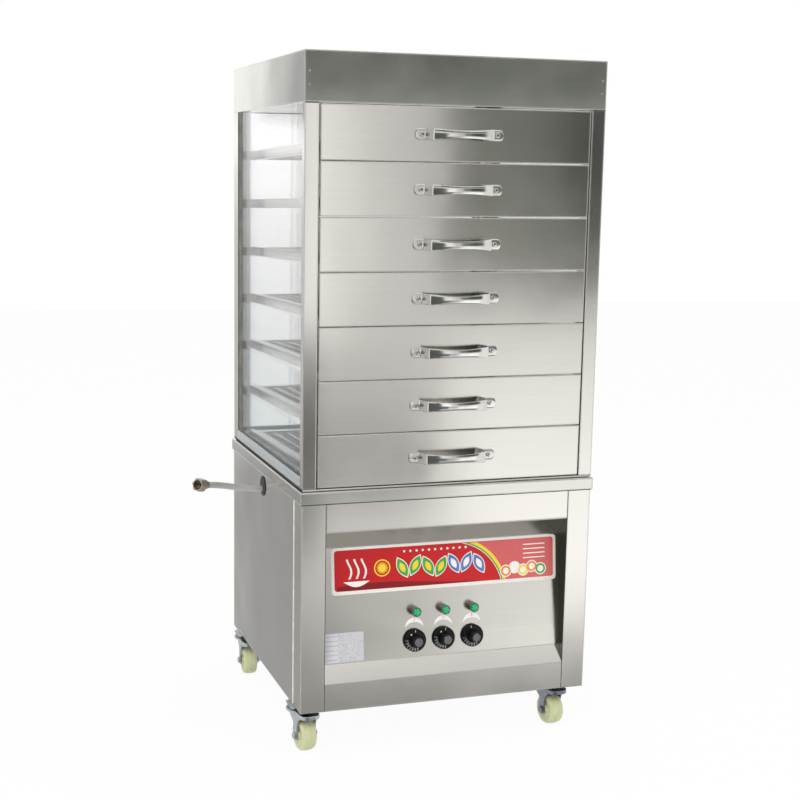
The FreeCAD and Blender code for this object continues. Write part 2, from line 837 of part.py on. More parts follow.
def hood():
    """Folded box on top, with an inward lip that stands on the posts."""
    box = slab((-side_x, side_x), (front_y, cabinet_back), (hood_bottom, hood_top))
    inside = slab((-side_x + sheet, side_x - sheet), (front_y + sheet, cabinet_back - sheet),
                  (hood_bottom + sheet, hood_top - sheet))
    mouth = slab((-side_x + hood_lip, side_x - hood_lip), (front_y + hood_lip, cabinet_back - hood_lip),
                 (hood_bottom - 1, hood_bottom + 2 * sheet))
    return box.cut(inside).cut(mouth)


def cabinet_ceiling():
    """Ceiling pan inside the hood, lying on the hood's lip."""
    gap = sheet + fit_gap
    x = side_x - gap
    y = (front_y + gap, cabinet_back - gap)
    z = hood_bottom + sheet
    pan = slab((-x, x), y, (z, z + ceiling_flange))
    inside = slab((-x + sheet, x - sheet), (y[0] + sheet, y[1] - sheet),
                  (z + sheet, z + ceiling_flange + 1))
    return pan.cut(inside)


# Drawers: the runners fall towards the back, so each drawer rolls shut

def drawer_bottom(i):
    """Lower edge of a drawer front, counted from the top drawer."""
    return stack_bottom + (drawer_count - 1 - i) * drawer_pitch


def tilted(shape, i):
    """Turns a piece that is built level, its top front corner at the origin, onto a runner's slope."""
    turned = shape.copy()
    seat = point(0, front_y + runner_start, drawer_bottom(i) + runner_top_above_front)
    turned.Placement = FreeCAD.Placement(seat, FreeCAD.Rotation(point(1, 0, 0), -runner_fall_angle))
    return turned


def runner():
    """Left runner channel, open towards the drawer."""
    length = (cabinet_depth - runner_start - runner_end_gap) / math.cos(math.radians(runner_fall_angle))
    path = [(-post_x + runner_flange, 0), (-post_x, 0), (-post_x, -runner_height),
            (-post_x + runner_flange, -runner_height)]
    return folded(path, "xz", 0, length)


def drawer_front():
    """Folded front, its lower edge at the origin: a face with returns, a top lip and a deeper bottom lip."""
    half = front_width / 2
    box = slab((-half, half), (0, front_thickness), (0, front_height))
    edges = [e for e in box.Edges if e.BoundBox.YMax < 0.01]
    box = box.makeFillet(front_edge_radius, edges)
    well = slab((-half + sheet, half - sheet), (sheet, front_thickness + 1), (sheet, front_height - sheet))
    lip_x = (-half + sheet, half - sheet)
    lip_y = (front_thickness - sheet, front_thickness)
    bottom = slab(lip_x, lip_y, (0, front_bottom_lip))
    top = slab(lip_x, lip_y, (front_height - front_top_lip, front_height))
    front = joined([box.cut(well), bottom, top])
    for x in (-handle_screw_span / 2, handle_screw_span / 2):
        front = front.cut(rod(point(x, -1, front_height / 2), point(x, 3, front_height / 2),
                              handle_screw_radius + hole_clearance))
    return front


def drawer_tray():
    """Welded tray, built level: side rails with their rims, cross rims, flat grid bars and cross rods."""
    top = -sheet - fit_gap
    outer = post_x - rail_side_gap
    inner = outer - tray_rim
    rail_height = runner_height - 2 * sheet - 2 * fit_gap
    length = cabinet_depth - runner_start - tray_end_gap
    path = [(-inner, top), (-outer, top), (-outer, top - rail_height),
            (-outer + tray_rail_flange, top - rail_height)]
    rail = folded(path, "xz", 0, length)
    back_path = [(length - tray_cross_rim, top), (length, top), (length, top - rail_height)]
    back = folded(back_path, "yz", -inner, inner, -sheet)
    front = slab((-inner, inner), (0, tray_cross_rim), (top - sheet, top))
    pieces = [rail, mirrored(rail), back, front]
    bar_top = top - sheet
    bar_count = 2 * int((inner - grid_bar_width) / grid_bar_pitch) + 1
    for i in range(bar_count):
        x = (i - (bar_count - 1) / 2) * grid_bar_pitch
        pieces.append(slab((x - grid_bar_width / 2, x + grid_bar_width / 2), (tray_cross_rim - 5, length - 15),
                           (bar_top - grid_bar_height, bar_top)))
    rod_z = bar_top - grid_bar_height - grid_rod_radius + 0.2
    for i in range(grid_rod_count):
        y = tray_cross_rim + (i + 0.5) * (length - 2 * tray_cross_rim) / grid_rod_count
        pieces.append(rod(point(-outer + sheet / 2, y, rod_z), point(outer - sheet / 2, y, rod_z),
                          grid_rod_radius))
    return joined(pieces)


def tray_weld_plate(i):
    """Upright plate that joins the tray's front rim to the drawer front's bottom lip."""
    half = post_x - rail_side_gap - tray_rim
    top = drawer_bottom(i) + runner_top_above_front - sheet - 2 * fit_gap
    return slab((-half, half), (front_y + front_thickness, front_y + front_thickness + sheet),
                (top - runner_height / 2, top))


def drawer(i, front, tray):
    """A whole welded drawer: its front, and its tray with the weld plate."""
    placed = front.copy()
    placed.Placement = FreeCAD.Placement(point(0, front_y, drawer_bottom(i)), FreeCAD.Rotation())
    return placed, joined([tilted(tray, i), tray_weld_plate(i)])


def handle_bow():
    """Pressed bow handle, lying on the drawer front's plane at the origin, arched towards -Y."""
    end = handle_screw_span / 2 + handle_tab_end
    grip = handle_grip_half
    foot = grip + handle_riser
    inner_reach = handle_reach - handle_strip
    inner_shoulder = handle_shoulder - handle_strip
    inner_grip = grip - handle_strip
    inner_foot = foot - handle_strip

    def line(a, b):
        return Part.LineSegment(point(a[0], a[1], 0), point(b[0], b[1], 0)).toShape()

    def bow(a, b, c):
        return Part.Arc(point(a[0], a[1], 0), point(b[0], b[1], 0), point(c[0], c[1], 0)).toShape()

    outline = [
        line((-end, 0), (-end, -handle_tab)),
        line((-end, -handle_tab), (-foot, -handle_tab)),
        line((-foot, -handle_tab), (-grip, -handle_shoulder)),
        bow((-grip, -handle_shoulder), (0, -handle_reach), (grip, -handle_shoulder)),
        line((grip, -handle_shoulder), (foot, -handle_tab)),
        line((foot, -handle_tab), (end, -handle_tab)),
        line((end, -handle_tab), (end, 0)),
        line((end, 0), (inner_foot, 0)),
        line((inner_foot, 0), (inner_grip, -inner_shoulder)),
        bow((inner_grip, -inner_shoulder), (0, -inner_reach), (-inner_grip, -inner_shoulder)),
        line((-inner_grip, -inner_shoulder), (-inner_foot, 0)),
        line((-inner_foot, 0), (-end, 0)),
    ]
    half = handle_height / 2
    strip = Part.Face(Part.Wire(outline)).extrude(point(0, 0, handle_height))
    strip.translate(point(0, 0, -half))
    corner = half * 0.7
    waist = handle_waist / 2

    def edge(a, b):
        return Part.LineSegment(point(a[0], 0, a[1]), point(b[0], 0, b[1])).toShape()

    def curve(a, b, c):
        return Part.Arc(point(a[0], 0, a[1]), point(b[0], 0, b[1]), point(c[0], 0, c[1])).toShape()

    middle = end - corner * (1 - math.cos(math.pi / 4))
    high = half - corner * (1 - math.sin(math.pi / 4))
    front_view = [
        curve((-end, half - corner), (-middle, high), (-end + corner, half)),
        edge((-end + corner, half), (-foot, half)),
        curve((-foot, half), (0, waist), (foot, half)),
        edge((foot, half), (end - corner, half)),
        curve((end - corner, half), (middle, high), (end, half - corner)),
        edge((end, half - corner), (end, -half + corner)),
        curve((end, -half + corner), (middle, -high), (end - corner, -half)),
        edge((end - corner, -half), (foot, -half)),
        curve((foot, -half), (0, -waist), (-foot, -half)),
        edge((-foot, -half), (-end + corner, -half)),
        curve((-end + corner, -half), (-middle, -high), (-end, -half + corner)),
        edge((-end, -half + corner), (-end, half - corner)),
    ]
    profile = Part.Face(Part.Wire(front_view)).extrude(point(0, -handle_reach - 5, 0))
    bow_shape = strip.common(profile)
    for x in (-handle_screw_span / 2, handle_screw_span / 2):
        bow_shape = bow_shape.cut(rod(point(x, -5, 0), point(x, 1, 0), handle_screw_radius + hole_clearance))
    return bow_shape


def handle_screw():
    """Pan-head screw through the front's sheet, with its nut behind."""
    head_top = -handle_tab - handle_screw_head_height
    head = rod(point(0, -handle_tab, 0), point(0, head_top, 0), handle_screw_head)
    head = head.makeFillet(0.9, [e for e in head.Edges if abs(e.BoundBox.YMax - head_top) < 0.01])
    shank = rod(point(0, -handle_tab, 0), point(0, sheet + handle_nut_height + 1, 0), handle_screw_radius)
    nut = hexagon(point(0, sheet, 0), point(0, sheet + handle_nut_height, 0), handle_nut_radius)
    recess = rod(point(0, head_top - 1, 0), point(0, head_top + 1.2, 0), 1.7)
    return joined([head, shank, nut]).cut(recess)


def drawer_handle(i, bow, screw):
    """Handle with its two screws, at the middle of a drawer's front."""
    pieces = []
    for shape, x in ((bow, 0), (screw, -handle_screw_span / 2), (screw, handle_screw_span / 2)):
        placed = shape.copy()
        placed.translate(point(x, front_y, drawer_bottom(i) + front_height / 2))
        pieces.append(placed)
    return pieces


# Castors

def castor_places():
    """Swivel axes, and how far each fork has swung from pointing forward."""
    front = front_y + castor_inset
    rear = back_y - castor_inset
    return {
        "front_left": (castor_left_x, front, castor_front_swivel),
        "front_right": (castor_right_x, front, castor_front_swivel),
        "rear_left": (castor_left_x, rear, castor_rear_swivel),
        "rear_right": (castor_right_x, rear, castor_rear_swivel),
    }


def fork_top():
    return base_bottom - castor_plate_thickness - raceway_height - swivel_gap


def castor_mount():
    """Top plate with its raceway, stem and kingpin, and the nut inside the base; axis at the origin."""
    half = castor_plate / 2
    plate_low = base_bottom - castor_plate_thickness
    plate = rounded_plate((-half, half), (-half, half), (plate_low, base_bottom), castor_plate_corner)
    raceway = Part.makeCone(raceway_radius, raceway_radius - 3, raceway_height, point(0, 0, plate_low),
                            point(0, 0, -1))
    stem = rod(point(0, 0, plate_low), point(0, 0, base_bottom + stem_length), stem_radius)
    pin_foot = fork_top() - fork_cup_height - swivel_gap - kingpin_head_height
    kingpin = rod(point(0, 0, pin_foot), point(0, 0, plate_low), kingpin_radius)
    head = rod(point(0, 0, pin_foot), point(0, 0, pin_foot + kingpin_head_height), kingpin_head_radius)
    floor = base_bottom + sheet
    nut = hexagon(point(0, 0, floor), point(0, 0, floor + stem_nut_height), stem_nut_radius)
    return joined([plate, raceway, stem, kingpin, head, nut])


def rounded_rim(shape, level, radius):
    """Rounds the edges of a shape that lie wholly at one height."""
    def flat(edge):
        return abs(edge.BoundBox.ZMin - level) < 0.01 and abs(edge.BoundBox.ZMax - level) < 0.01

    return shape.makeFillet(radius, [e for e in shape.Edges if flat(e)])


def castor_fork():
    """Stamped fork: bearing cup, crown with a turned-down rim, two waisted legs and the axle bolt."""
    top = fork_top()
    inner = wheel_hub_width / 2 + 0.5
    outer = inner + fork_sheet
    axle_y = -castor_trail
    axle_z = wheel_radius
    cup = rod(point(0, 0, top - fork_cup_height), point(0, 0, top), fork_cup_radius)
    cup = rounded_rim(rounded_rim(cup, top, fork_rim_radius), top - fork_cup_height, fork_rim_radius)
    crown = rounded_plate((-outer, outer), (-fork_front, 0), (top - fork_skirt, top), fork_nose_radius)
    crown = rounded_rim(crown, top, fork_rim_radius)
    crown = crown.cut(rounded_plate((-inner, inner), (-fork_front + fork_sheet, outer),
                                    (top - fork_skirt - 1, top - fork_sheet), fork_nose_radius - fork_sheet))
    boss = fork_boss_radius
    leg_top = top - fork_rim_radius - 0.5
    front = -fork_front + fork_nose_radius
    skirt_foot = (front, top - fork_skirt)
    strut_front = (axle_y - boss, axle_z)
    waist = (axle_y - boss + 1, (skirt_foot[1] + axle_z) / 2 + 2)

    def edge(a, b):
        return Part.LineSegment(point(inner, a[0], a[1]), point(inner, b[0], b[1])).toShape()

    cup_back = fork_cup_radius * 0.68
    corners = [
        strut_front, (axle_y + boss, axle_z), (axle_y + boss, axle_z + fork_knee_height),
        (cup_back, top - fork_cup_height + fork_rim_radius), (cup_back, leg_top), (front, leg_top), skirt_foot,
    ]
    outline = [edge(a, b) for a, b in zip(corners, corners[1:])]
    arch = Part.Arc(point(inner, *skirt_foot), point(inner, *waist), point(inner, *strut_front))
    outline.append(arch.toShape())
    leg = Part.Face(Part.Wire(outline)).extrude(point(fork_sheet, 0, 0))
    leg = joined([leg, rod(point(inner, axle_y, axle_z), point(outer, axle_y, axle_z), boss)])
    bore = rod(point(0, 0, top - 20), point(0, 0, top + 5), kingpin_radius + turning_clearance)
    fork = joined([cup, crown, leg, mirrored(leg)]).cut(bore)
    hole = rod(point(-outer - 1, axle_y, axle_z), point(outer + 1, axle_y, axle_z), axle_radius)
    cap = rod(point(0, 0, 0), point(0, 0, axle_head_height), axle_head_radius)
    cap = rounded_rim(cap, axle_head_height, axle_head_round)
    sideways = FreeCAD.Rotation(point(0, 0, 1), point(1, 0, 0))
    cap.Placement = FreeCAD.Placement(point(outer, axle_y, axle_z), sideways)
    axle = rod(point(-outer - 1, axle_y, axle_z), point(outer + 1, axle_y, axle_z), axle_radius)
    return joined([fork.cut(hole), axle, cap, mirrored(cap)])


def castor_wheel():
    """Nylon wheel with a crowned tread, recessed web and long hub, on the axle at the trail's end."""
    half = wheel_width / 2
    hub_half = wheel_hub_width / 2
    bore = axle_radius + turning_clearance
    shoulder = wheel_radius - wheel_crown
    rim_inner = shoulder - wheel_rim
    web = half - wheel_web_recess

    def line(a, b):
        return Part.LineSegment(point(a[0], a[1], 0), point(b[0], b[1], 0)).toShape()

    right = [(hub_half, bore), (hub_half, wheel_hub_radius), (web, wheel_hub_radius + 1), (web, rim_inner),
             (half, rim_inner + 2), (half, shoulder - 1)]
    left = [(-x, r) for x, r in reversed(right)]
    edges = [line(a, b) for a, b in zip(right, right[1:])]
    edges.append(Part.Arc(point(half, shoulder - 1, 0), point(0, wheel_radius, 0),
                          point(-half, shoulder - 1, 0)).toShape())
    edges += [line(a, b) for a, b in zip(left, left[1:])]
    edges.append(line(left[-1], right[0]))
    wheel = Part.Face(Part.Wire(edges)).revolve(point(0, 0, 0), point(1, 0, 0), 360)
    wheel.translate(point(0, -castor_trail, wheel_radius))
    return wheel


# Water inlet hose

def hose_route():
    """Points as distances out from the left side, back from the front and down from the worktop."""
    chosen = [(-hose_start_inset, hose_exit_from_front, hose_exit_below_top), (5, 310, 58.5), (52, 308.5, 53),
              (96, 295, 42), (126, 269, 35)]
    return [point(-side_x - out, front_y + back, worktop_top - down) for out, back, down in chosen]


def hose_path(points):
    """Straight runs joined by tangent arcs, each as large as its two runs allow."""
    edges = []
    last = points[0]
    for before, corner, after in zip(points, points[1:], points[2:]):
        back = (before - corner).normalize()
        on = (after - corner).normalize()
        half_turn = (math.pi - back.getAngle(on)) / 2
        setback = 0.45 * min(before.distanceToPoint(corner), after.distanceToPoint(corner))
        radius = setback / math.tan(half_turn)
        start = corner + back * setback
        end = corner + on * setback
        bisector = (back + on).normalize()
        middle = corner + bisector * (radius / math.cos(half_turn) - radius)
        edges.append(Part.LineSegment(last, start).toShape())
        edges.append(Part.Arc(start, middle, end).toShape())
        last = end
        print("hose turn", round(math.degrees(2 * half_turn), 1), "degrees, radius", round(radius, 1))
    edges.append(Part.LineSegment(last, points[-1]).toShape())
    return Part.Wire(edges)


def inlet_hose():
    """Braided hose from the float valve's spigot to its crimped ferrule."""
    points = hose_route()
    path = hose_path(points)
    radius = hose_diameter / 2
    section = Part.Wire(Part.Circle(points[0], points[1] - points[0], radius).toShape())
    tube = path.makePipeShell([section], True, False)
    print("hose length", round(path.Length, 1), "volume ratio",
          round(tube.Volume / (math.pi * radius ** 2 * path.Length), 4))
    return tube


def inlet_hose_nut():
    """Crimp ferrule and union nut with its threaded mouth, on the hose's free end."""
    points = hose_route()
    heading = (points[-1] - points[-2]).normalize()
    start = points[-1]
    nut_start = start + heading * ferrule_length
    mouth = nut_start + heading * nut_length
    whole = joined([rod(start, nut_start + heading, ferrule_radius),
                    hexagon(nut_start, mouth, nut_across_flats / 2)])
    thread = rod(mouth - heading * nut_thread_length, mouth + heading, nut_thread_radius)
    seat = rod(start + heading * 4, mouth, nut_seat_radius)
    return whole.cut(thread).cut(seat)


def hose_grommet():
    """Rubber grommet snapped into the side panel, with its bore below the middle."""
    y = front_y + grommet_from_front
    z = worktop_top - grommet_below_top
    outer = -side_x - grommet_flange
    inner = -side_x + sheet + grommet_flange
    body = joined([
        rod(point(outer, y, z), point(-side_x, y, z), grommet_radius),
        rod(point(outer, y, z), point(inner, y, z), grommet_neck_radius),
        rod(point(-side_x + sheet, y, z), point(inner, y, z), grommet_radius),
    ])
    route = hose_route()
    slope = (route[1] - route[0]).normalize()
    bore = rod(route[0], route[0] + slope * (route[1] - route[0]).Length, hose_diameter / 2 + 0.5)
    return body.cut(bore)


os.makedirs("parts", exist_ok=True)

save("base_floor", base_floor())
stile = corner_stile()
save("corner_stiles", stile, mirrored(stile))
save("side_panel_left", side_panel_left())
save("side_panel_right", mirrored(side_panel()))
save("top_rail", top_rail())
save("control_panel", control_panel())
save("back_panel", back_panel())
save("cable_gland", cable_gland())
save("worktop", worktop())

save("boiler_tank", boiler_tank())
save("heating_elements", *[heating_element(x) for x in heater_places()])
save("float_valve", float_valve())
save("float_arm", float_arm())
save("drain_valve", drain_valve())
save("drain_lever", drain_lever())
save("contactor", contactor())

save("thermostats", *on_each_control(thermostat(), dial_down))
for number, knob in enumerate(on_each_control(control_knob(), dial_down), 1):
    save("control_knob_" + str(number), knob)
save("pilot_lamps", *on_each_control(pilot_lamp(), lamp_down))
save("pilot_lenses", *on_each_control(pilot_lens(), lamp_down))
save("dial_scales", *on_each_control(dial_scale(), scale_top_down + scale_outer_radius))
save("banner_plate", banner_plate())
save("rating_plate", rating_plate())

post = front_post()
back_post = rear_post()
save("cabinet_posts", post, mirrored(post), back_post, mirrored(back_post))
save("cabinet_sills", *cabinet_sills())
pane = glass_side()
save("glass_left", pane)
save("glass_right", mirrored(pane))
save("glass_back", glass_back())
save("cabinet_gasket", cabinet_gasket())
save("hood", hood())
save("cabinet_ceiling", cabinet_ceiling())

runner_left = runner()
runners = []
for i in range(drawer_count):
    placed = tilted(runner_left, i)
    runners += [placed, mirrored(placed)]
save("drawer_runners", *runners)
front_shape = drawer_front()
tray_shape = drawer_tray()
bow_shape = handle_bow()
screw_shape = handle_screw()
for i in range(drawer_count):
    save("drawer_" + str(i + 1), *drawer(i, front_shape, tray_shape))
    save("drawer_handle_" + str(i + 1), *drawer_handle(i, bow_shape, screw_shape))

mount = castor_mount()
fork = castor_fork()
wheel = castor_wheel()
mounts = []
for name, (x, y, swivel) in castor_places().items():
    placed = mount.copy()
    placed.translate(point(x, y, 0))
    mounts.append(placed)
    for kind, shape in (("castor_fork_", fork), ("castor_wheel_", wheel)):
        placed = shape.copy()
        placed.rotate(point(0, 0, 0), point(0, 0, 1), swivel)
        placed.translate(point(x, y, 0))
        save(kind + name, placed)
save("castor_plates", *mounts)

save("inlet_hose", inlet_hose())
save("inlet_hose_nut", inlet_hose_nut())
save("hose_grommet", hose_grommet())
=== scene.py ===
import json
import math

import bmesh
import bpy
from mathutils import Matrix, Vector


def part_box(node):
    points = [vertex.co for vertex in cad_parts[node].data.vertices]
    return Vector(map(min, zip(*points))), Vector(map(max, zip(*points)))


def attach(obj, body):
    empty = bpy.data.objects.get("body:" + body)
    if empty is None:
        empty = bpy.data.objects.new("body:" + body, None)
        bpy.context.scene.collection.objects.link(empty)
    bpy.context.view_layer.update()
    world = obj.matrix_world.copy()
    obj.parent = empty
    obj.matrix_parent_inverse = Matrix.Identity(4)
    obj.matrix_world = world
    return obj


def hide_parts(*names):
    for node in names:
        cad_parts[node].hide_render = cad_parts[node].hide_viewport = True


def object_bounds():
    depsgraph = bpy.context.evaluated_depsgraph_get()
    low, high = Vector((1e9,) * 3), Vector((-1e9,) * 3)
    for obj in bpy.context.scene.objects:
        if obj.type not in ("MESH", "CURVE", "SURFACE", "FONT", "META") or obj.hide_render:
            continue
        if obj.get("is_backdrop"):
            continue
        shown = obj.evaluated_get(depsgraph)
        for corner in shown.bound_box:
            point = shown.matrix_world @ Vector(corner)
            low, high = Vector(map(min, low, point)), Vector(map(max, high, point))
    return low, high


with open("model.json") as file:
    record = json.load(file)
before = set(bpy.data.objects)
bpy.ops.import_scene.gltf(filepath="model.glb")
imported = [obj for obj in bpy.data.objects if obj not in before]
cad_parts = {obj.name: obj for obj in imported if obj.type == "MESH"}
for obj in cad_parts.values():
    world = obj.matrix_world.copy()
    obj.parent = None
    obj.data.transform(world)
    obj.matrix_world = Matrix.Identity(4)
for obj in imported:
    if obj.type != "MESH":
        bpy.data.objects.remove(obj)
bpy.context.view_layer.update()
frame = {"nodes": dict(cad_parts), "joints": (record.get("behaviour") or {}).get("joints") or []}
scene = bpy.context.scene
scene.view_settings.view_transform = "Standard"

# Camera. The photograph was taken from the front left, at about the height of the
# top drawers and with a long lens. The place and the three turns are those that
# make the cabinet's edges meet the ones in the photograph.
camera_place = Vector((-1.0034, -2.8332, 1.1183))
camera_yaw = 0.309
camera_pitch = 0.166
camera_roll = 0.014
camera_data = bpy.data.cameras.new("camera")
camera_data.sensor_width = 36
camera_data.lens = 64.74
camera_data.shift_x = 0.0510
camera_data.shift_y = 0.0192
camera = bpy.data.objects.new("camera", camera_data)
scene.collection.objects.link(camera)
camera_turn = (Matrix.Rotation(-camera_yaw, 4, "Z") @ Matrix.Rotation(math.pi / 2 - camera_pitch, 4, "X")
               @ Matrix.Rotation(camera_roll, 4, "Z"))
camera.matrix_world = Matrix.Translation(camera_place) @ camera_turn
scene.camera = camera


# Stainless braided hose. Wire braid over a rubber tube, 13.5 mm thick and short: it
# leaves the grommet straight and swings towards the front, where it ends in a
# crimped ferrule. It is stiff enough to hold itself level over this length.
def linear(hex_colour):
    """The linear colour of an sRGB hex value."""
    channels = [int(hex_colour[i:i + 2], 16) / 255 for i in (1, 3, 5)]
    return tuple(c / 12.92 if c <= 0.04045 else ((c + 0.055) / 1.055) ** 2.4 for c in channels) + (1.0,)


def add(tree, kind, inputs=None, **settings):
    """Adds a node, sets its settings, and gives its inputs values, sockets or other nodes."""
    node = tree.nodes.new(kind)
    for name, value in settings.items():
        setattr(node, name, value)
    for name, value in (inputs or {}).items():
        socket = node.inputs[name]
        if isinstance(value, bpy.types.Node):
            value = value.outputs[0]
        if isinstance(value, bpy.types.NodeSocket):
            tree.links.new(value, socket)
        else:
            socket.default_value = value
    return node


def new_material(name):
    """An empty node material and its tree."""
    material = bpy.data.materials.new(name)
    material.use_nodes = True
    material.node_tree.nodes.clear()
    return material, material.node_tree


def surface(tree, shader):
    """Makes a shader the material's surface."""
    add(tree, "ShaderNodeOutputMaterial", {"Surface": shader})


def shaded(material, inputs):
    """Gives a material one principled shader with these inputs."""
    tree = material.node_tree
    surface(tree, add(tree, "ShaderNodeBsdfPrincipled", inputs))
    return material


def maths(tree, operation, *values):
    """A maths node on one or two values."""
    return add(tree, "ShaderNodeMath", dict(enumerate(values)), operation=operation)


def split(tree, vector):
    """The X, Y and Z outputs of a vector."""
    return add(tree, "ShaderNodeSeparateXYZ", {"Vector": vector}).outputs


def remap(tree, value, from_low, from_high, to_low=0.0, to_high=1.0, **settings):
    """Moves a value from one span to another, held within it."""
    return add(tree, "ShaderNodeMapRange", {"Value": value, "From Min": from_low, "From Max": from_high,
                                            "To Min": to_low, "To Max": to_high}, **settings)


def blend(tree, share, first, second):
    """A colour between two hex colours."""
    mix = add(tree, "ShaderNodeMix", {"Factor": share, 6: linear(first), 7: linear(second)}, data_type="RGBA")
    return mix.outputs[2]


def bumped(tree, height, strength, distance, normal=None):
    """A surface raised by a height, on top of another normal where one is given."""
    inputs = {"Height": height, "Strength": strength, "Distance": distance}
    return add(tree, "ShaderNodeBump", inputs | ({"Normal": normal} if normal else {}))


def place_object(name, data):
    """A new object in the scene."""
    piece = bpy.data.objects.new(name, data)
    scene.collection.objects.link(piece)
    return piece


def place_mesh(name, vertices, faces, material, smooth_angle=None):
    """A mesh object at the origin, with outward faces and one material."""
    mesh = bpy.data.meshes.new(name)
    work = bmesh.new()
    corners = [work.verts.new(v) for v in vertices]
    for face in faces:
        work.faces.new([corners[i] for i in face])
    bmesh.ops.recalc_face_normals(work, faces=work.faces)
    work.to_mesh(mesh)
    work.free()
    mesh.materials.append(material)
    if smooth_angle is not None:
        mesh.shade_smooth()
        mesh.set_sharp_from_angle(angle=math.radians(smooth_angle))
    return place_object(name, mesh)


def steel_braid(name):
    """Bright stainless wire braid: crossed bands of fine wires, with painted shade between them and a painted
    highlight on their crests.
    """
    wire_pitch = 0.0034
    wraps = 9
    material, tree = new_material(name)
    uv = add(tree, "ShaderNodeUVMap", uv_map="along_and_round")
    parts = split(tree, uv.outputs["UV"])
    bands = []
    for side in (-1, 1):
        along = maths(tree, "MULTIPLY", parts["X"], 1 / wire_pitch / 2)
        around = maths(tree, "MULTIPLY", parts["Y"], side * wraps)
        total = maths(tree, "ADD", along, around)
        turns = maths(tree, "MULTIPLY", total, 2 * math.pi)
        wave = maths(tree, "SINE", turns)
        bands.append(wave)
    relief = maths(tree, "MAXIMUM", bands[0], bands[1])
    # Painted shade: the braid is dark where it sinks between the wires and light on their crests.
    shade = remap(tree, relief, -0.4, 0.8)
    colour = blend(tree, shade, "#5f5f5b", "#f4f4f2")
    bump = bumped(tree, relief, 0.6, 0.0006)
    return shaded(material, {"Base Color": colour, "Metallic": 0.45, "Roughness": 0.34, "Normal": bump})


hose_diameter = 0.0135
hose_route = [
    (-0.262, 0.028, 0.4665),
    (-0.305, 0.028, 0.4675),
    (-0.352, 0.0265, 0.473),
    (-0.396, 0.013, 0.484),
    (-0.426, -0.013, 0.491),
]


def route_curve(name, points):
    """A curve of one NURBS spline through a cord's route."""
    curve = bpy.data.curves.new(name, "CURVE")
    curve.dimensions = "3D"
    spline = curve.splines.new("NURBS")
    spline.points.add(len(points) - 1)
    for point, place in zip(spline.points, points):
        point.co = (*place, 1)
    spline.order_u = 3
    spline.use_endpoint_u = True
    spline.resolution_u = 24
    return curve


def kept_mesh(piece):
    """The finished mesh of an object, which is then removed."""
    bpy.context.view_layer.update()
    mesh = bpy.data.meshes.new_from_object(piece.evaluated_get(bpy.context.evaluated_depsgraph_get()))
    bpy.data.objects.remove(piece)
    return mesh


def centre_line(name, points):
    """The points of the smooth line that a cord follows."""
    mesh = kept_mesh(place_object(name, route_curve(name, points)))
    path = [v.co.copy() for v in mesh.vertices]
    bpy.data.meshes.remove(mesh)
    return path


def braided_tube(name, path, radius, material):
    """A tube along a path whose skin rises and falls with the crossing wires."""
    around = 32
    relief = 0.00022
    relief_pitch = 0.0034
    vertices = []
    uvs = []
    travelled = 0.0
    for i, place in enumerate(path):
        ahead = path[min(i + 1, len(path) - 1)] - path[max(i - 1, 0)]
        ahead.normalize()
        side = ahead.cross(Vector((0, 0, 1))).normalized()
        up = side.cross(ahead)
        if i:
            travelled += (place - path[i - 1]).length
        for k in range(around):
            turn = 2 * math.pi * k / around
            lift = relief * math.cos(8 * turn) * math.cos(travelled / relief_pitch * math.pi)
            reach = radius - relief + lift
            vertices.append(place + (side * math.cos(turn) + up * math.sin(turn)) * reach)
            uvs.append((travelled, k / around))
    faces = []
    corner_uvs = []
    for i in range(len(path) - 1):
        for k in range(around):
            nxt = (k + 1) % around
            faces.append((i * around + k, i * around + nxt, (i + 1) * around + nxt, (i + 1) * around + k))
            wrap = (k + 1) / around
            corner_uvs += [uvs[i * around + k], (uvs[i * around][0], wrap),
                           (uvs[(i + 1) * around][0], wrap), uvs[(i + 1) * around + k]]
    for end in (0, len(path) - 1):
        ring = [end * around + k for k in range(around)]
        faces.append(tuple(ring))
        corner_uvs += [uvs[i] for i in ring]
    mesh = bpy.data.meshes.new(name)
    mesh.from_pydata(vertices, [], faces)
    layer = mesh.uv_layers.new(name="along_and_round")
    for loop, uv in zip(layer.data, corner_uvs):
        loop.uv = uv
    work = bmesh.new()
    work.from_mesh(mesh)
    bmesh.ops.recalc_face_normals(work, faces=work.faces)
    work.to_mesh(mesh)
    work.free()
    mesh.materials.append(material)
    mesh.shade_smooth()
    mesh.set_sharp_from_angle(angle=math.radians(70))
    return place_object(name, mesh)


hose_path = centre_line("hose_line", hose_route)
hose = braided_tube("braided_hose", hose_path, hose_diameter / 2, steel_braid("stainless wire braid"))
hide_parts("inlet_hose")
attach(hose, "cabinet")


# Folded stainless sheets of the base. 1.2 mm type 304 sheet, guillotined, folded and
# spot welded. The mill finish is dull and faintly streaked along the rolling
# direction, and the outside of each fold is a soft round that catches the light.
def object_place(tree):
    """Where a point lies on the object."""
    return add(tree, "ShaderNodeTexCoord").outputs["Object"]


def noise(tree, place, scale, detail, roughness=0.5):
    """Cloudy noise from 0 to 1."""
    return add(tree, "ShaderNodeTexNoise", {"Vector": place, "Scale": scale, "Detail": detail,
                                            "Roughness": roughness})


def toned(tree, colour, tone):
    """A colour made lighter or darker by a factor."""
    return add(tree, "ShaderNodeVectorMath", {0: colour, "Scale": tone}, operation="SCALE")


def rounded_edges(tree, radius):
    """A normal that rounds the edges off."""
    return add(tree, "ShaderNodeBevel", {"Radius": radius}, samples=4)


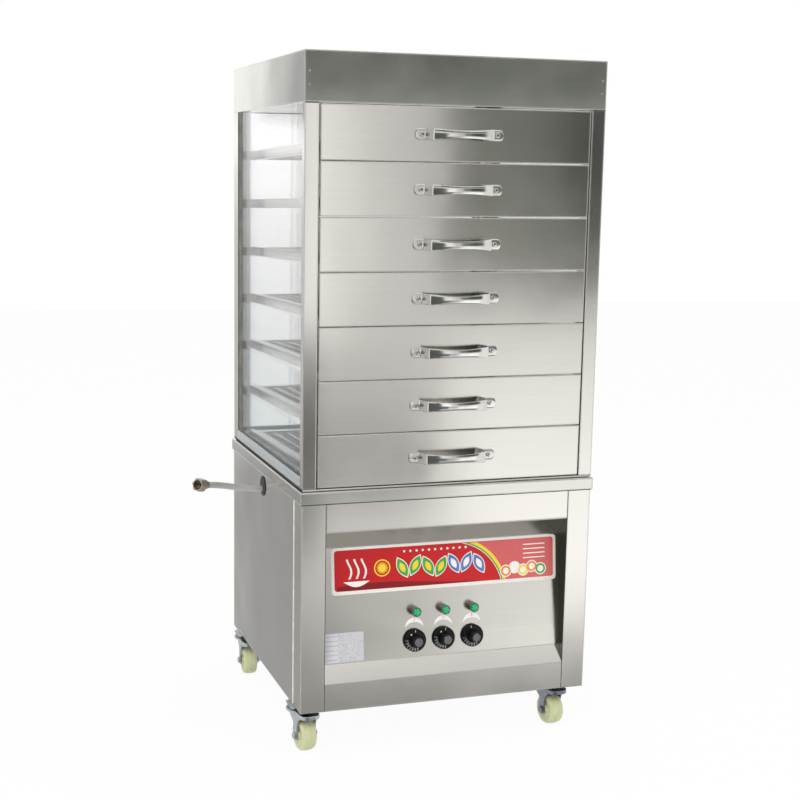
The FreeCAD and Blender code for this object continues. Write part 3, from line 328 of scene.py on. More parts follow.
def sheet_steel(name, hex_colour, grain, roughness=0.13, haze=0.03, ripple=0.0007, bow=0.0, lean=0.0):
    """Mill-finished stainless: streaked one way, faintly bloomed and a little out of flat."""
    fold_radius = 0.0032
    material, tree = new_material(name)
    place = object_place(tree)
    stretch = add(tree, "ShaderNodeMapping", {"Vector": place, "Scale": grain})
    streak = noise(tree, stretch, 1.0, 4.0, 0.65)
    bloom = noise(tree, place, 5.0, 4.0, 0.6)
    streak_tone = remap(tree, streak, 0.3, 0.7, 0.98, 1.02)
    bloom_tone = remap(tree, bloom, 0.3, 0.7, 1 - haze, 1 + haze)
    tone = maths(tree, "MULTIPLY", streak_tone, bloom_tone)
    colour = toned(tree, linear(hex_colour)[:3], tone)
    rough = remap(tree, bloom, 0.3, 0.7, roughness - 0.02, roughness + 0.02)
    rounded = rounded_edges(tree, fold_radius)
    wave = noise(tree, place, 6.0, 1.0)
    normal = bumped(tree, wave, 1.0, ripple, rounded)
    if bow or lean:
        across = split(tree, place)["X"]
        turned_out = maths(tree, "MULTIPLY", across, bow)
        offset = add(tree, "ShaderNodeCombineXYZ", {"X": turned_out, "Z": lean})
        tilted = add(tree, "ShaderNodeVectorMath", {0: normal, 1: offset}, operation="ADD")
        normal = add(tree, "ShaderNodeVectorMath", {0: tilted}, operation="NORMALIZE")
    tangent = add(tree, "ShaderNodeTangent", direction_type="RADIAL", axis="Z")
    return shaded(material, {"Base Color": colour, "Metallic": 1.0, "Roughness": rough,
                            "Anisotropic": 0.5, "Anisotropic Rotation": 0.25, "Normal": normal,
                            "Tangent": tangent})


def dress(material, *nodes):
    """Gives carried-over pieces their finish."""
    for node in nodes:
        mesh = frame["nodes"][node].data
        mesh.materials.clear()
        mesh.materials.append(material)


streak_width = 0.0015
level_grain = (5.0, 5.0, 1 / streak_width)
upright_grain = (1 / streak_width, 1 / streak_width, 5.0)
base_steel = sheet_steel("mill finish stainless, streaks level", "#d5d2cc", level_grain)
stile_steel = sheet_steel("mill finish stainless, streaks upright", "#d5d2cc", upright_grain)
dress(base_steel, "side_panel_left", "side_panel_right", "top_rail", "back_panel", "base_floor")
panel_steel = sheet_steel("mill finish stainless, brushed panel", "#d0cdc6", level_grain, roughness=0.22)
# The stiles' inner cheeks beside the inclined panel get a darker steel: painted shade in the recess.
painted_shade_cheek_steel = sheet_steel("mill finish stainless, painted shade on cheeks", "#6f6f66", upright_grain, roughness=0.3)
dress(base_steel, "control_panel")
dress(sheet_steel("mill finish stainless, worktop", "#cbcbc4", level_grain), "worktop")
dress(stile_steel, "corner_stiles")
cheek_x = 0.2522


def faces_you(face):
    """Whether a face of the panel leans back a little, as its inclined part does."""
    return face.normal.y < -0.95 and face.normal.z > 0.05


def second_finish(node, material, chosen):
    """Gives the chosen faces of a carried-over piece another finish."""
    mesh = frame["nodes"][node].data
    mesh.materials.append(material)
    for face in mesh.polygons:
        if chosen(face):
            face.material_index = 1


second_finish("control_panel", panel_steel, faces_you)
# The darker steel on the cheeks is painted shade.
second_finish("corner_stiles", painted_shade_cheek_steel, lambda face: abs(face.center.x) < cheek_x)


# Steam generator. A welded water tank hangs under the worktop, with three tubular
# heaters, a brass float valve on the inlet and a brass drain cock. All of it is
# plain, heat-stained and out of sight behind the panels.
def plain_metal(name, hex_colour, roughness, speckle=60.0, metallic=1.0, edge=0.0006):
    """Cast, plated or machined metal with a slight mottle."""
    material, tree = new_material(name)
    place = object_place(tree)
    mottle = noise(tree, place, speckle, 4.0)
    tone = remap(tree, mottle, 0.3, 0.7, 0.82, 1.08)
    colour = toned(tree, linear(hex_colour)[:3], tone)
    rough = remap(tree, mottle, 0.3, 0.7, roughness + 0.06, roughness - 0.04)
    rounded = rounded_edges(tree, edge)
    return shaded(material, {"Base Color": colour, "Metallic": metallic, "Roughness": rough,
                            "Normal": rounded})


tank_steel = sheet_steel("tank stainless, water stained", "#a9a69f", level_grain, roughness=0.36, haze=0.25)
dress(tank_steel, "boiler_tank")
dress(plain_metal("oxidised heater tube", "#5b5650", 0.45), "heating_elements")
dress(plain_metal("machined brass", "#c29a55", 0.3), "float_valve", "drain_valve")
dress(plain_metal("bright stainless", "#c9c8c4", 0.18), "float_arm")
dress(plain_metal("zinc plated lever", "#b4b8ba", 0.3), "drain_lever")
dress(plain_metal("moulded switch plastic", "#cfc9ba", 0.5, metallic=0.0), "thermostats", "contactor")
dress(plain_metal("black nylon gland", "#191919", 0.42, metallic=0.0), "cable_gland")


# Hose fittings. A black rubber grommet lines the hole in the side, and the free end
# of the hose has a crimped ferrule and a nickel-plated union nut.
def soft_black(name, hex_colour, roughness, gloss=0.5):
    """Moulded rubber and phenolic, and dark beads and strips of painted shade and reflection: dusty, with a
    fine pitted skin.
    """
    material, tree = new_material(name)
    place = object_place(tree)
    pits = noise(tree, place, 900.0, 3.0)
    dust = noise(tree, place, 40.0, 3.0)
    tone = remap(tree, dust, 0.35, 0.7, 0.7, 1.8)
    colour = toned(tree, linear(hex_colour)[:3], tone)
    rounded = rounded_edges(tree, 0.0006)
    bump = bumped(tree, pits, 0.3, 0.0001, rounded)
    return shaded(material, {"Base Color": colour, "Roughness": roughness, "Normal": bump,
                            "Specular IOR Level": gloss})


black_rubber = soft_black("black rubber", "#141414", 0.55)
dress(black_rubber, "hose_grommet")
dress(plain_metal("nickel plated union", "#a39a8c", 0.28, speckle=200.0), "inlet_hose_nut")


# Seams and painted shade. Dark beads stand for the shade in the joints between the stiles
# and the panels, and under the worktop's turned-down edge. Each is a low rounded bead.
def prism_faces(count):
    """The faces of a prism with this many corners at each end."""
    faces = [tuple(range(count)), tuple(range(2 * count - 1, count - 1, -1))]
    return faces + [(i, (i + 1) % count, count + (i + 1) % count, count + i) for i in range(count)]


def bead(name, start, end, across, out, material):
    """A rounded bead run straight from start to end; across is half its width and out its height."""
    section = ((-1.0, 0.0), (-0.9, 0.45), (-0.6, 0.82), (0.0, 1.0), (0.6, 0.82), (0.9, 0.45), (1.0, 0.0))
    vertices = [Vector(place) + Vector(across) * a + Vector(out) * o
                for place in (start, end) for a, o in section]
    piece = place_mesh(name, vertices, prism_faces(len(section)), material, 40)
    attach(piece, "cabinet")


def bead_pair(name, start, end, across, out, material):
    """The same bead on both sides, given for the right; the name has a place for the side."""
    for side_name, side in (("left", -1), ("right", 1)):
        facing = Vector((side, 1, 1))
        bead(name.format(side_name), Vector(start) * facing, Vector(end) * facing, across,
             Vector(out) * facing, material)


# The light bead down each side fold is a polished round whose light colour is a painted highlight.
painted_highlight_fold = plain_metal("stainless fold bead, painted highlight", "#f2f1ec", 0.22)
# The dark bead finish is painted shade, used in joints, gaps and the screw sockets.
painted_gap_shade = soft_black("dark bead, painted shade in gaps", "#2b2b26", 0.5)
bead_pair("stile_seam_{}", (0.2520, -0.2819, 0.0890), (0.2520, -0.2819, 0.5005), (0.0005, 0, 0),
          (0, -0.0005, 0), painted_gap_shade)
bead_pair("worktop_seam_{}", (0.2999, -0.2830, 0.5008), (0.2999, 0.2980, 0.5008), (0, 0, 0.0010),
          (0.0016, 0, 0), painted_gap_shade)
bead_pair("side_fold_{}", (0.2998, -0.2267, 0.0900), (0.2998, -0.2267, 0.4995), (0, 0.0020, 0),
          (0.0016, 0, 0), painted_highlight_fold)
bead("worktop_seam_front", (-0.3010, -0.2819, 0.5008), (0.3010, -0.2819, 0.5008), (0, 0, 0.0010),
     (0, -0.0018, 0), painted_gap_shade)


# Control panel's own frame: a place on the inclined panel is given by how far it
# lies to the right of the middle dial, above it, and out from the sheet.
def joint(name):
    """A joint of the part."""
    return next(j for j in frame["joints"] if j["name"] == name)


middle_dial = joint("control_knob_2_turn")
panel_origin = Vector(middle_dial["pos_m"])
panel_out = -Vector(middle_dial["axis"]).normalized()
panel_right = Vector((1, 0, 0))
panel_up = panel_out.cross(panel_right)


def on_panel(right, up, out):
    """A point on the inclined panel, from millimetres."""
    return panel_origin + (panel_right * right + panel_up * up + panel_out * out) / 1000


# Banner. A digitally printed plastic film on a thin plate, red with a white border.
# The print is a plain design: steam over a bowl, a sun, leaves, buns and curved bands.
def printed_film(name, hex_colour, second=None):
    """Glossy printed film: flat ink with a faint dot screen under a smooth clear skin."""
    material, tree = new_material(name)
    place = object_place(tree)
    screen = noise(tree, place, 400.0, 2.0)
    spread = noise(tree, place, 7.0, 2.0)
    ink = blend(tree, spread, hex_colour, second or hex_colour)
    tone = remap(tree, screen, 0.3, 0.7, 0.93, 1.05)
    colour = toned(tree, ink, tone)
    return shaded(material, {"Base Color": colour, "Roughness": 0.28, "Specular IOR Level": 0.35,
                            "Coat Weight": 0.12, "Coat Roughness": 0.1})


dress(printed_film("white printed film", "#f0ece8"), "banner_plate")
frame["nodes"]["banner_plate"].visible_glossy = False
banner_middle = 8.0
banner_top = 193.0
banner_plate_height = 92.5
banner_plate_thickness = 0.8
banner_half = 238.0
print_step = 0.06


def rounded_outline(left, right, low, high, radius, steps=6):
    """The corners of a rounded rectangle, in order."""
    outline = []
    for cx, cy, start in ((right - radius, high - radius, 0), (left + radius, high - radius, 90),
                          (left + radius, low + radius, 180), (right - radius, low + radius, 270)):
        for i in range(steps + 1):
            turn = math.radians(start + 90 * i / steps)
            outline.append((cx + radius * math.cos(turn), cy + radius * math.sin(turn)))
    return outline


def print_patch(name, outline, layer, material):
    """A flat printed shape on the banner, given by millimetres from its lower left corner."""
    base = banner_plate_thickness + print_step * layer
    left = banner_middle - banner_half
    low = banner_top - banner_plate_height
    vertices = []
    for out in (base, base - print_step * 0.9):
        vertices += [on_panel(left + x, low + y, out) for x, y in outline]
    patch = place_mesh(name, vertices, prism_faces(len(outline)), material)
    patch.visible_glossy = False
    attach(patch, "cabinet")


def band_outline(lower, upper, start, end, steps=40):
    """The outline between two height curves, from one place along the banner to another."""
    along = [start + (end - start) * i / steps for i in range(steps + 1)]
    return [(x, lower(x)) for x in along] + [(x, upper(x)) for x in reversed(along)]


banner_red = printed_film("red ink", "#d2121a", "#b90c14")
banner_rose = printed_film("rose ink", "#d4555a", "#dc7270")
banner_deep = printed_film("deep red ink", "#8f0a14", "#7a0710")
banner_orange = printed_film("orange ink", "#ee7a1c", "#f2a024")
banner_yellow = printed_film("yellow ink", "#f6d12b", "#f3e04a")
banner_green = printed_film("green ink", "#2f9d45", "#59b74b")
banner_white = printed_film("white ink", "#f4f1ec", "#fbf8f4")
banner_blue = printed_film("blue ink", "#3f62b4", "#6f9ad6")
field = (6.0, 470.0, 7.0, 87.5)
print_patch("banner_field", rounded_outline(*field, 6.0), 1, banner_red)


def arc(outer, inner, low=8.0, high=86.0, steps=26):
    """A curved band round a centre below the banner, cut off at its foot and its head."""
    outline = []
    for radius, order in ((outer, 1), (inner, -1)):
        heights = [low + (high - low) * i / steps for i in range(steps + 1)][::order]
        outline += [(250 + math.sqrt(radius ** 2 - (y + 20) ** 2), y) for y in heights]
    return outline


rose_edge = arc(118, 117, 7.2, 87.2)[26::-1]
rose_corners = [(464, 7.2), (469.6, 13), (469.6, 81), (464, 87.2)]
print_patch("banner_rose_field", rose_edge + rose_corners, 2, banner_rose)
foot_band = band_outline(lambda x: 7.4, lambda x: 15 + 5 * math.sin(x / 62), 12, 300)
print_patch("banner_foot", foot_band, 3, banner_deep)
for i, (outer, inner, ink) in enumerate(((119, 112.5, banner_yellow), (112.5, 109.5, banner_green),
                                         (109.5, 108.3, banner_white))):
    print_patch(f"banner_arc_{i + 1}", arc(outer, inner), 4, ink)


def disc(x, y, radius, steps=28):
    """The outline of a round shape."""
    return [(x + radius * math.cos(2 * math.pi * i / steps), y + radius * math.sin(2 * math.pi * i / steps))
            for i in range(steps)]


def leaf(x, y, half_length, half_width, turn, steps=12):
    """The outline of a leaf: two arcs that meet in points, turned by an angle."""
    outline = []
    for side in (1, -1):
        for i in range(steps):
            share = side * (2 * i / steps - 1)
            along = -half_length * share
            out = side * half_width * (1 - share * share)
            outline.append((x + along * math.cos(turn) - out * math.sin(turn),
                            y + along * math.sin(turn) + out * math.cos(turn)))
    return outline


def printed_stack(name, outline_of, sizes, inks, first_layer):
    """The same outline printed smaller and smaller, one ink on the next."""
    for i, (size, ink) in enumerate(zip(sizes, inks)):
        print_patch(f"{name}_{i + 1}", outline_of(size), first_layer + i, ink)


printed_stack("banner_sun", lambda size: disc(104, 48, size), (17, 14.5, 11.5, 8), (banner_yellow, banner_red,
              banner_orange, banner_yellow), 4)
for i in range(7):
    leaf_x = 146 + 27 * i
    leaf_y = 46 + 3 * math.sin(i * 1.7)
    lean = math.radians(62 if i % 2 else 118)
    ink = banner_green if i < 4 else banner_blue
    printed_stack(f"banner_leaf_{i + 1}", lambda size: leaf(leaf_x, leaf_y, 21 * size, 10 * size, lean),
                  (1.14, 1.0, 0.55), (banner_white, ink, banner_yellow if i < 4 else banner_white), 4)
for i in range(5):
    bun_x = 366 + 19 * i
    bun_y = 24 + 6 * (i % 2)
    printed_stack(f"banner_bun_{i + 1}", lambda size: disc(bun_x, bun_y, size), (12.5, 10.5, 6.5),
                  (banner_white, (banner_orange, banner_white, banner_yellow, banner_orange, banner_green)[i],
                   banner_white), 5)
for i in range(3):
    curl_x = 36 + 15 * i
    curl = [(curl_x + 4.5 * math.sin(t / 3.2) - 2.0, 30 + 2.8 * t) for t in range(15)]
    curl += [(curl_x + 4.5 * math.sin(t / 3.2) + 2.0, 30 + 2.8 * t) for t in range(14, -1, -1)]
    print_patch(f"banner_steam_{i + 1}", curl, 5, banner_white)
print_patch("banner_bowl", [(24 + 54 * i / 16, 25 - 11 * math.sin(math.pi * i / 16)) for i in range(17)], 5,
            banner_white)
for i in range(11):
    print_patch(f"banner_top_dot_{i + 1}", disc(150 + 13 * i, 78, 2.4, 12), 5, banner_white)
for i in range(4):
    print_patch(f"banner_right_rule_{i + 1}", rounded_outline(404, 452, 74 - 9 * i, 76.2 - 9 * i, 1.0, 3), 5,
                banner_white)


# Rating label. A thin matt sticker near the left stile, bare but for a wide and a fine
# grey ruling.
def ruled_label(name):
    """Matt paper label: a wide ruling on the left, a fine one on the right, and a border, all in grey."""
    wide_gap = 0.0092
    fine_gap = 0.0023
    fine_from_x = -0.2190
    material, tree = new_material(name)
    place = object_place(tree)
    parts = split(tree, place)
    lines = []
    for gap, share in ((wide_gap, 0.13), (fine_gap, 0.38)):
        rows = maths(tree, "FLOORED_MODULO", parts["Z"], gap)
        lines.append(maths(tree, "LESS_THAN", rows, gap * share))
    on_right = maths(tree, "GREATER_THAN", parts["X"], fine_from_x)
    ruled = add(tree, "ShaderNodeMix", {"Factor": on_right, 2: lines[0],
                                        3: lines[1]})
    cloud = noise(tree, place, 300.0, 2.0)
    worn = remap(tree, cloud, 0.35, 0.6, 0.15, 0.75)
    strength = maths(tree, "MULTIPLY", ruled, worn)
    colour = blend(tree, strength, "#d6d8e0", "#6a6b73")
    return shaded(material, {"Base Color": colour, "Roughness": 0.5})


dress(ruled_label("ruled label paper"), "rating_plate")


# Dials. Black phenolic skirts with a fluted tapering grip and a knurled aluminium
# cap, screwed to the regulator spindles. The scale marks and numbers are white.
millimetre = 0.001


def skin(rings, steps):
    """The faces between rings of points; a ring of one point closes an end."""
    faces = []
    for low, high in zip(rings, rings[1:]):
        for k in range(steps):
            nxt = (k + 1) % steps
            quad = [low[k % len(low)], low[nxt % len(low)], high[nxt % len(high)], high[k % len(high)]]
            corners = list(dict.fromkeys(quad))
            if len(corners) > 2:
                faces.append(tuple(corners))
    return faces


def turned(name, profile, place, axis, material, steps=48, flutes=0, flute_depth=0.0, smooth_angle=35):
    """A turned piece: the profile is (distance along the axis, radius) in millimetres, closed at radius 0."""
    axis = axis.normalized()
    flute_depth *= millimetre
    side = axis.orthogonal().normalized()
    other = axis.cross(side)
    vertices = []
    rings = []
    for along, radius in profile:
        along *= millimetre
        radius *= millimetre
        if radius == 0:
            rings.append([len(vertices)])
            vertices.append(place + axis * along)
            continue
        ring = []
        for k in range(steps):
            turn = 2 * math.pi * k / steps
            reach = radius - flute_depth * (0.5 - 0.5 * math.cos(flutes * turn)) if flutes else radius
            ring.append(len(vertices))
            vertices.append(place + axis * along + (side * math.cos(turn) + other * math.sin(turn)) * reach)
        rings.append(ring)
    return place_mesh(name, vertices, skin(rings, steps), material, smooth_angle)


def join(name, pieces):
    """Joins finished meshes into one piece that keeps each one's finish."""
    work = bmesh.new()
    mesh = bpy.data.meshes.new(name)
    smooth_angle = math.radians(35)
    for piece in pieces:
        start = len(mesh.materials)
        for material in piece.data.materials:
            mesh.materials.append(material)
        first = len(work.faces)
        work.from_mesh(piece.data)
        work.faces.ensure_lookup_table()
        for face in work.faces[first:]:
            face.material_index += start
    work.to_mesh(mesh)
    work.free()
    mesh.set_sharp_from_angle(angle=smooth_angle)
    for piece in pieces:
        bpy.data.objects.remove(piece)
    return place_object(name, mesh)


phenolic = soft_black("black phenolic moulding", "#0c0c0c", 0.30, gloss=0.22)
mark_paint = printed_film("white mark paint", "#fafafa")


def knurled_cap(name, hex_colour):
    """Dark anodised cap with a diamond knurl, with painted shade in its crossed grooves and a painted
    highlight on its crests.
    """
    knurl_pitch = 0.0042
    material, tree = new_material(name)
    place = object_place(tree)
    waves = []
    for side in (-1, 1):
        slant = (0, side * math.pi / 4, 0)
        turned_round = add(tree, "ShaderNodeMapping", {"Vector": place, "Rotation": slant})
        across = split(tree, turned_round)["X"]
        phase = maths(tree, "MULTIPLY", across, 2 * math.pi / knurl_pitch)
        waves.append(maths(tree, "SINE", phase))
    height = maths(tree, "MAXIMUM", waves[0], waves[1])
    # Painted shade and highlight: the grooves go nearly black and the crests lighter than the metal.
    tone = remap(tree, height, 0.72, 1.0, 0.06, 1.25)
    colour = toned(tree, linear(hex_colour)[:3], tone)
    bump = bumped(tree, height, 0.6, 0.0004)
    return shaded(material, {"Base Color": colour, "Metallic": 0.3, "Roughness": 0.4, "Normal": bump})


cap_metal = knurled_cap("dark knurled aluminium", "#a2a2a8")
dial_skirt = [(3.0, 0), (3.0, 21.6), (3.5, 22.4), (6.4, 22.6), (7.1, 22.2), (7.4, 21.5), (7.5, 20.6),
              (7.5, 0)]
dial_grip = [(7.3, 0), (7.3, 12.3), (9.0, 12.1), (25.4, 9.6), (26.2, 9.2), (26.5, 8.3), (26.5, 0)]
dial_cap = [(26.4, 0), (26.4, 8.2), (27.0, 8.2), (27.3, 7.8), (27.3, 0)]
dial_numbers = ("0", "50", "100", "150", "200", "250", "300")
dial_first_mark = 88.0
dial_mark_step = 17.5


def laid_out(name, inputs, lay, material, move):
    """Copies of a form set out by a node tree, kept as a plain mesh; lay gives form, place and turn."""
    tree = bpy.data.node_groups.new(name, "GeometryNodeTree")
    values = {}
    for label, value in inputs.items():
        kind = {int: "Int", float: "Float", tuple: "Vector"}[type(value)]
        socket = tree.interface.new_socket(label, in_out="INPUT", socket_type="NodeSocket" + kind)
        values[socket.identifier] = value
    tree.interface.new_socket("Geometry", in_out="OUTPUT", socket_type="NodeSocketGeometry")
    given = add(tree, "NodeGroupInput").outputs
    form, place, turn = lay(tree, given, add(tree, "GeometryNodeInputIndex"))
    spots = add(tree, "GeometryNodePoints", {"Count": given["Count"]})
    moved = add(tree, "GeometryNodeSetPosition", {"Geometry": spots, "Position": place})
    copies = add(tree, "GeometryNodeInstanceOnPoints", {"Points": moved, "Instance": form, "Rotation": turn})
    solid = add(tree, "GeometryNodeRealizeInstances", {"Geometry": copies})
    painted = add(tree, "GeometryNodeSetMaterial", {"Geometry": solid, "Material": material})
    add(tree, "NodeGroupOutput", {"Geometry": painted})
    seed = place_object(name, bpy.data.meshes.new(name))
    modifier = seed.modifiers.new(name, "NODES")
    modifier.node_group = tree
    for identifier, value in values.items():
        modifier[identifier] = value
    mesh = kept_mesh(seed)
    mesh.transform(move)
    return place_object(name, mesh)


def bars_round(tree, given, index):
    """Short bars round a circle, each turned to point at its middle."""
    swing = maths(tree, "MULTIPLY", index, given["Step"])
    turn = add(tree, "ShaderNodeCombineXYZ", {"Z": maths(tree, "ADD", swing, given["Start"])})
    reach = add(tree, "ShaderNodeCombineXYZ", {"Y": given["Radius"]})
    place = add(tree, "ShaderNodeVectorRotate", {"Vector": reach, "Rotation": turn},
                rotation_type="EULER_XYZ")
    return add(tree, "GeometryNodeMeshCube", {"Size": given["Bar"]}), place, turn


def panel_frame(right, up, out):
    """The matrix that stands a flat drawing on the inclined panel."""
    matrix = Matrix((panel_right, panel_up, panel_out)).transposed().to_4x4()
    matrix.translation = on_panel(right, up, out)
    return matrix


def flat_text(name, words, size, thickness, matrix, material):
    """Centred lettering as a solid mesh, stood in place."""
    curve = bpy.data.curves.new(name, "FONT")
    curve.body = words
    curve.size = size
    curve.extrude = thickness
    curve.align_x = "CENTER"
    curve.align_y = "CENTER"
    mesh = kept_mesh(place_object(name, curve))
    mesh.transform(matrix)
    mesh.materials.clear()
    mesh.materials.append(material)
    return place_object(name, mesh)


def pointer_mark(stand):
    """A small painted triangle on the skirt, pointing at the rim."""
    corners = [stand @ (Vector((x, y, z)) * millimetre)
               for z in (-0.05, 0.15) for x, y in ((-1.7, 14.0), (1.7, 14.0), (0, 17.6))]
    faces = [(0, 1, 2), (3, 5, 4), (0, 3, 4, 1), (1, 4, 5, 2), (2, 5, 3, 0)]
    return place_mesh("pointer", corners, faces, mark_paint)


control_pitch = 61.0
dial_turns = (0.0, -8.0, 12.0)
for number, dial_turn in enumerate(dial_turns, 1):
    seat_x = (number - 2) * control_pitch
    seat = on_panel(seat_x, 0, 0)
    pieces = [
        turned("skirt", dial_skirt, seat, panel_out, phenolic, 64),
        turned("grip", dial_grip, seat, panel_out, phenolic, 96, flutes=16, flute_depth=0.8),
        turned("cap", dial_cap, seat, panel_out, cap_metal, 40),
    ]
    skirt_face = panel_frame(seat_x, 0, 7.5)
    for name, start, radius, count, bar in (("marks", dial_first_mark, 20.6, 7, (0.7, 1.5, 0.2)),
                                            ("off_mark", 0.0, 18.4, 1, (0.9, 4.4, 0.2))):
        inputs = {"Count": count, "Step": math.radians(dial_mark_step),
                  "Start": math.radians(start + dial_turn), "Radius": radius * millimetre,
                  "Bar": tuple(size * millimetre for size in bar)}
        pieces.append(laid_out(name, inputs, bars_round, mark_paint, skirt_face))
    if number < 3:
        pointer_turn = math.radians(36 + dial_turn)
        pieces.append(pointer_mark(skirt_face @ Matrix.Rotation(pointer_turn, 4, "Z")))
    for i, words in enumerate(dial_numbers):
        turn = math.radians(dial_first_mark + dial_turn + dial_mark_step * i)
        stand = skirt_face @ Matrix.Rotation(turn + math.pi / 2, 4, "Z")
        stand = stand @ Matrix.Translation((16.6 * millimetre, 0, 0))
        pieces.append(flat_text("number", words, 3.2 * millimetre, 0.1 * millimetre, stand, mark_paint))
    dial = join(f"dial_{number}", pieces)
    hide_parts(f"control_knob_{number}")
    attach(dial, f"knob_{number}_body")


# Dial stickers. White vinyl crescents above the dials, with a small red number.
dress(printed_film("white vinyl", "#ffffff"), "dial_scales")
red_mark = printed_film("red mark ink", "#a8222c")
sticker_up = 40.4
for number in range(1, 4):
    stand = panel_frame((number - 2) * control_pitch, sticker_up, 0.34)
    digit = flat_text(f"sticker_number_{number}", str(number), 8.0 * millimetre, 0.05 * millimetre, stand,
                      red_mark)
    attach(digit, "cabinet")


# Pilot lamps. Dark chromed tubes with a thin bright ring, and a faceted green lens
# pressed in, which is bright in the middle and deep green round its rim; the lens has a
# faint painted glow and every other facet a painted highlight. The tubes' dark tone is
# partly painted shade.
def clear_plastic(name, hex_colour, edge_colour, glow):
    """Clear coloured moulding: glossy, with a faint painted glow that stands for light passing through it."""
    material, tree = new_material(name)
    edge = add(tree, "ShaderNodeLayerWeight", {"Blend": 0.3})
    colour = blend(tree, edge.outputs["Facing"], hex_colour, edge_colour)
    return shaded(material, {"Base Color": colour, "Roughness": 0.12, "IOR": 1.49, "Coat Weight": 0.6,
                            "Emission Color": linear(hex_colour), "Emission Strength": glow})


# The tube's dark tone is partly dark chrome and partly painted shade.
dark_chrome_and_painted_shade = plain_metal("dark chrome tube, partly painted shade", "#9a9c93", 0.16, speckle=30.0)
lamp_ring = plain_metal("bright chrome ring", "#d8d9d4", 0.18, speckle=30.0)
lens_green = clear_plastic("clear green acrylic", "#0d8a4e", "#0a6e42", 0.03)
# Brighter, more glowing acrylic for the facets that carry the painted highlight.
painted_highlight_lens = clear_plastic("clear green acrylic, painted highlight facet", "#38c784", "#1fa468", 0.10)
lens_rim = clear_plastic("deep green acrylic rim", "#086b42", "#04472c", 0.0)
lamp_up = 58.7
bezel = [(0.0, 0), (0.0, 9.5), (1.2, 9.5), (1.2, 8.7), (15.0, 8.7), (15.0, 0)]
bright_ring = [(14.8, 0), (14.8, 9.2), (15.4, 9.5), (16.4, 9.5), (17.0, 9.3), (17.0, 0)]
rim = [(16.8, 0), (16.8, 9.2), (18.2, 9.2), (18.8, 8.6), (18.9, 7.3), (18.3, 6.9), (18.3, 0)]
lens = [(18.0, 0), (18.0, 7.2), (19.0, 6.9), (19.9, 4.6), (20.4, 1.6), (20.4, 0)]
lamp_bezels = []
lamp_lenses = []
for i in (-1, 0, 1):
    seat = on_panel(i * control_pitch, lamp_up, 0)
    lamp_bezels.append(turned("bezel", bezel, seat, panel_out, dark_chrome_and_painted_shade, 40))
    lamp_bezels.append(turned("ring", bright_ring, seat, panel_out, lamp_ring, 40))
    lamp_lenses.append(turned("rim", rim, seat, panel_out, lens_rim, 32))
    prism = turned("lens", lens, seat, panel_out, lens_green, 10, smooth_angle=5)
    # Every other facet takes the painted highlight.
    prism.data.materials.append(painted_highlight_lens)
    for facet in prism.data.polygons:
        facet.material_index = (facet.index + facet.index // 10) % 2
    lamp_lenses.append(prism)
lamps = join("lamp_bezels", lamp_bezels)
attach(lamps, "cabinet")
lenses = join("lamp_lenses", lamp_lenses)
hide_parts("pilot_lenses")
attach(lenses, "cabinet")
dress(dark_chrome_and_painted_shade, "pilot_lamps")


# Castors. Pressed steel plates and forks, bright zinc plated, and cream nylon wheels
# that turn on a bolt through the fork.
def moulded_nylon(name, hex_colour):
    """Cream nylon: waxy, slightly uneven in colour, scuffed on the tread."""
    material, tree = new_material(name)
    place = object_place(tree)
    cloud = noise(tree, place, 45.0, 4.0)
    colour = blend(tree, cloud, hex_colour, "#bfc393")
    bump = bumped(tree, cloud, 0.2, 0.0004)
    return shaded(material, {"Base Color": colour, "Roughness": 0.36, "Subsurface Weight": 0.15,
                            "Subsurface Radius": (0.004, 0.004, 0.003), "Subsurface Scale": 1.0,
                            "Normal": bump})


zinc = plain_metal("bright zinc plate", "#b3babd", 0.27, speckle=90.0, edge=0.0012)
nylon = moulded_nylon("cream nylon", "#e3e6c2")
dress(zinc, "castor_plates")
wheel_side = [(17.0, 4.1), (17.0, 9.0), (16.4, 9.5), (12.4, 10.2), (12.0, 11.0), (12.0, 20.6), (12.6, 21.6),
              (14.4, 22.4), (15.0, 23.4), (15.0, 25.6), (14.4, 27.6), (12.6, 29.3), (9.6, 30.5), (5.8, 31.2)]
wheel_profile = [(-a, r) for a, r in wheel_side] + [(-0.5, 31.35), (-0.3, 31.5), (0.3, 31.5), (0.5, 31.35)]
wheel_profile += list(reversed(wheel_side)) + [(-17.0, 4.1)]
# The front right fork gets a darker copy of the zinc: painted shade.
painted_shade_zinc = plain_metal("zinc plate, painted darker as shade", "#83878f", 0.34, speckle=90.0, edge=0.0012)
for corner in ("front_left", "front_right", "rear_left", "rear_right"):
    dress(painted_shade_zinc if corner == "front_right" else zinc, "castor_fork_" + corner)
    roll = joint(f"castor_{corner}_roll")
    wheel = turned("wheel_" + corner, wheel_profile, Vector(roll["pos_m"]), Vector(roll["axis"]), nylon,
                   72, smooth_angle=40)
    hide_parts("castor_wheel_" + corner)
    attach(wheel, f"castor_{corner}_wheel_body")


# Cabinet shell. Posts, sills, hood and ceiling are folded from the same sheet as the
# base. The posts bow a little outwards and the hood's front leans back a few degrees.
# Seams and glazing strips lie along their joints and beside the glass. The dark beads in
# the joints are painted shade; the dark strips against the glass are painted reflection and
# the grey channel beside them painted shade.
hood_steel = sheet_steel("mill finish stainless, hood", "#cfd0c8", level_grain, lean=0.087)
post_steel = sheet_steel("mill finish stainless, posts", "#d5d2cc", upright_grain, bow=0.105)
dress(hood_steel, "hood")
dress(post_steel, "cabinet_posts")
dress(base_steel, "cabinet_ceiling", "drawer_runners")
dress(black_rubber, "cabinet_gasket")
bead("foot_strip", (-0.2985, -0.2795, 0.5288), (0.2985, -0.2795, 0.5288), (0, 0, 0.0025), (0, -0.0029, 0),
     base_steel)
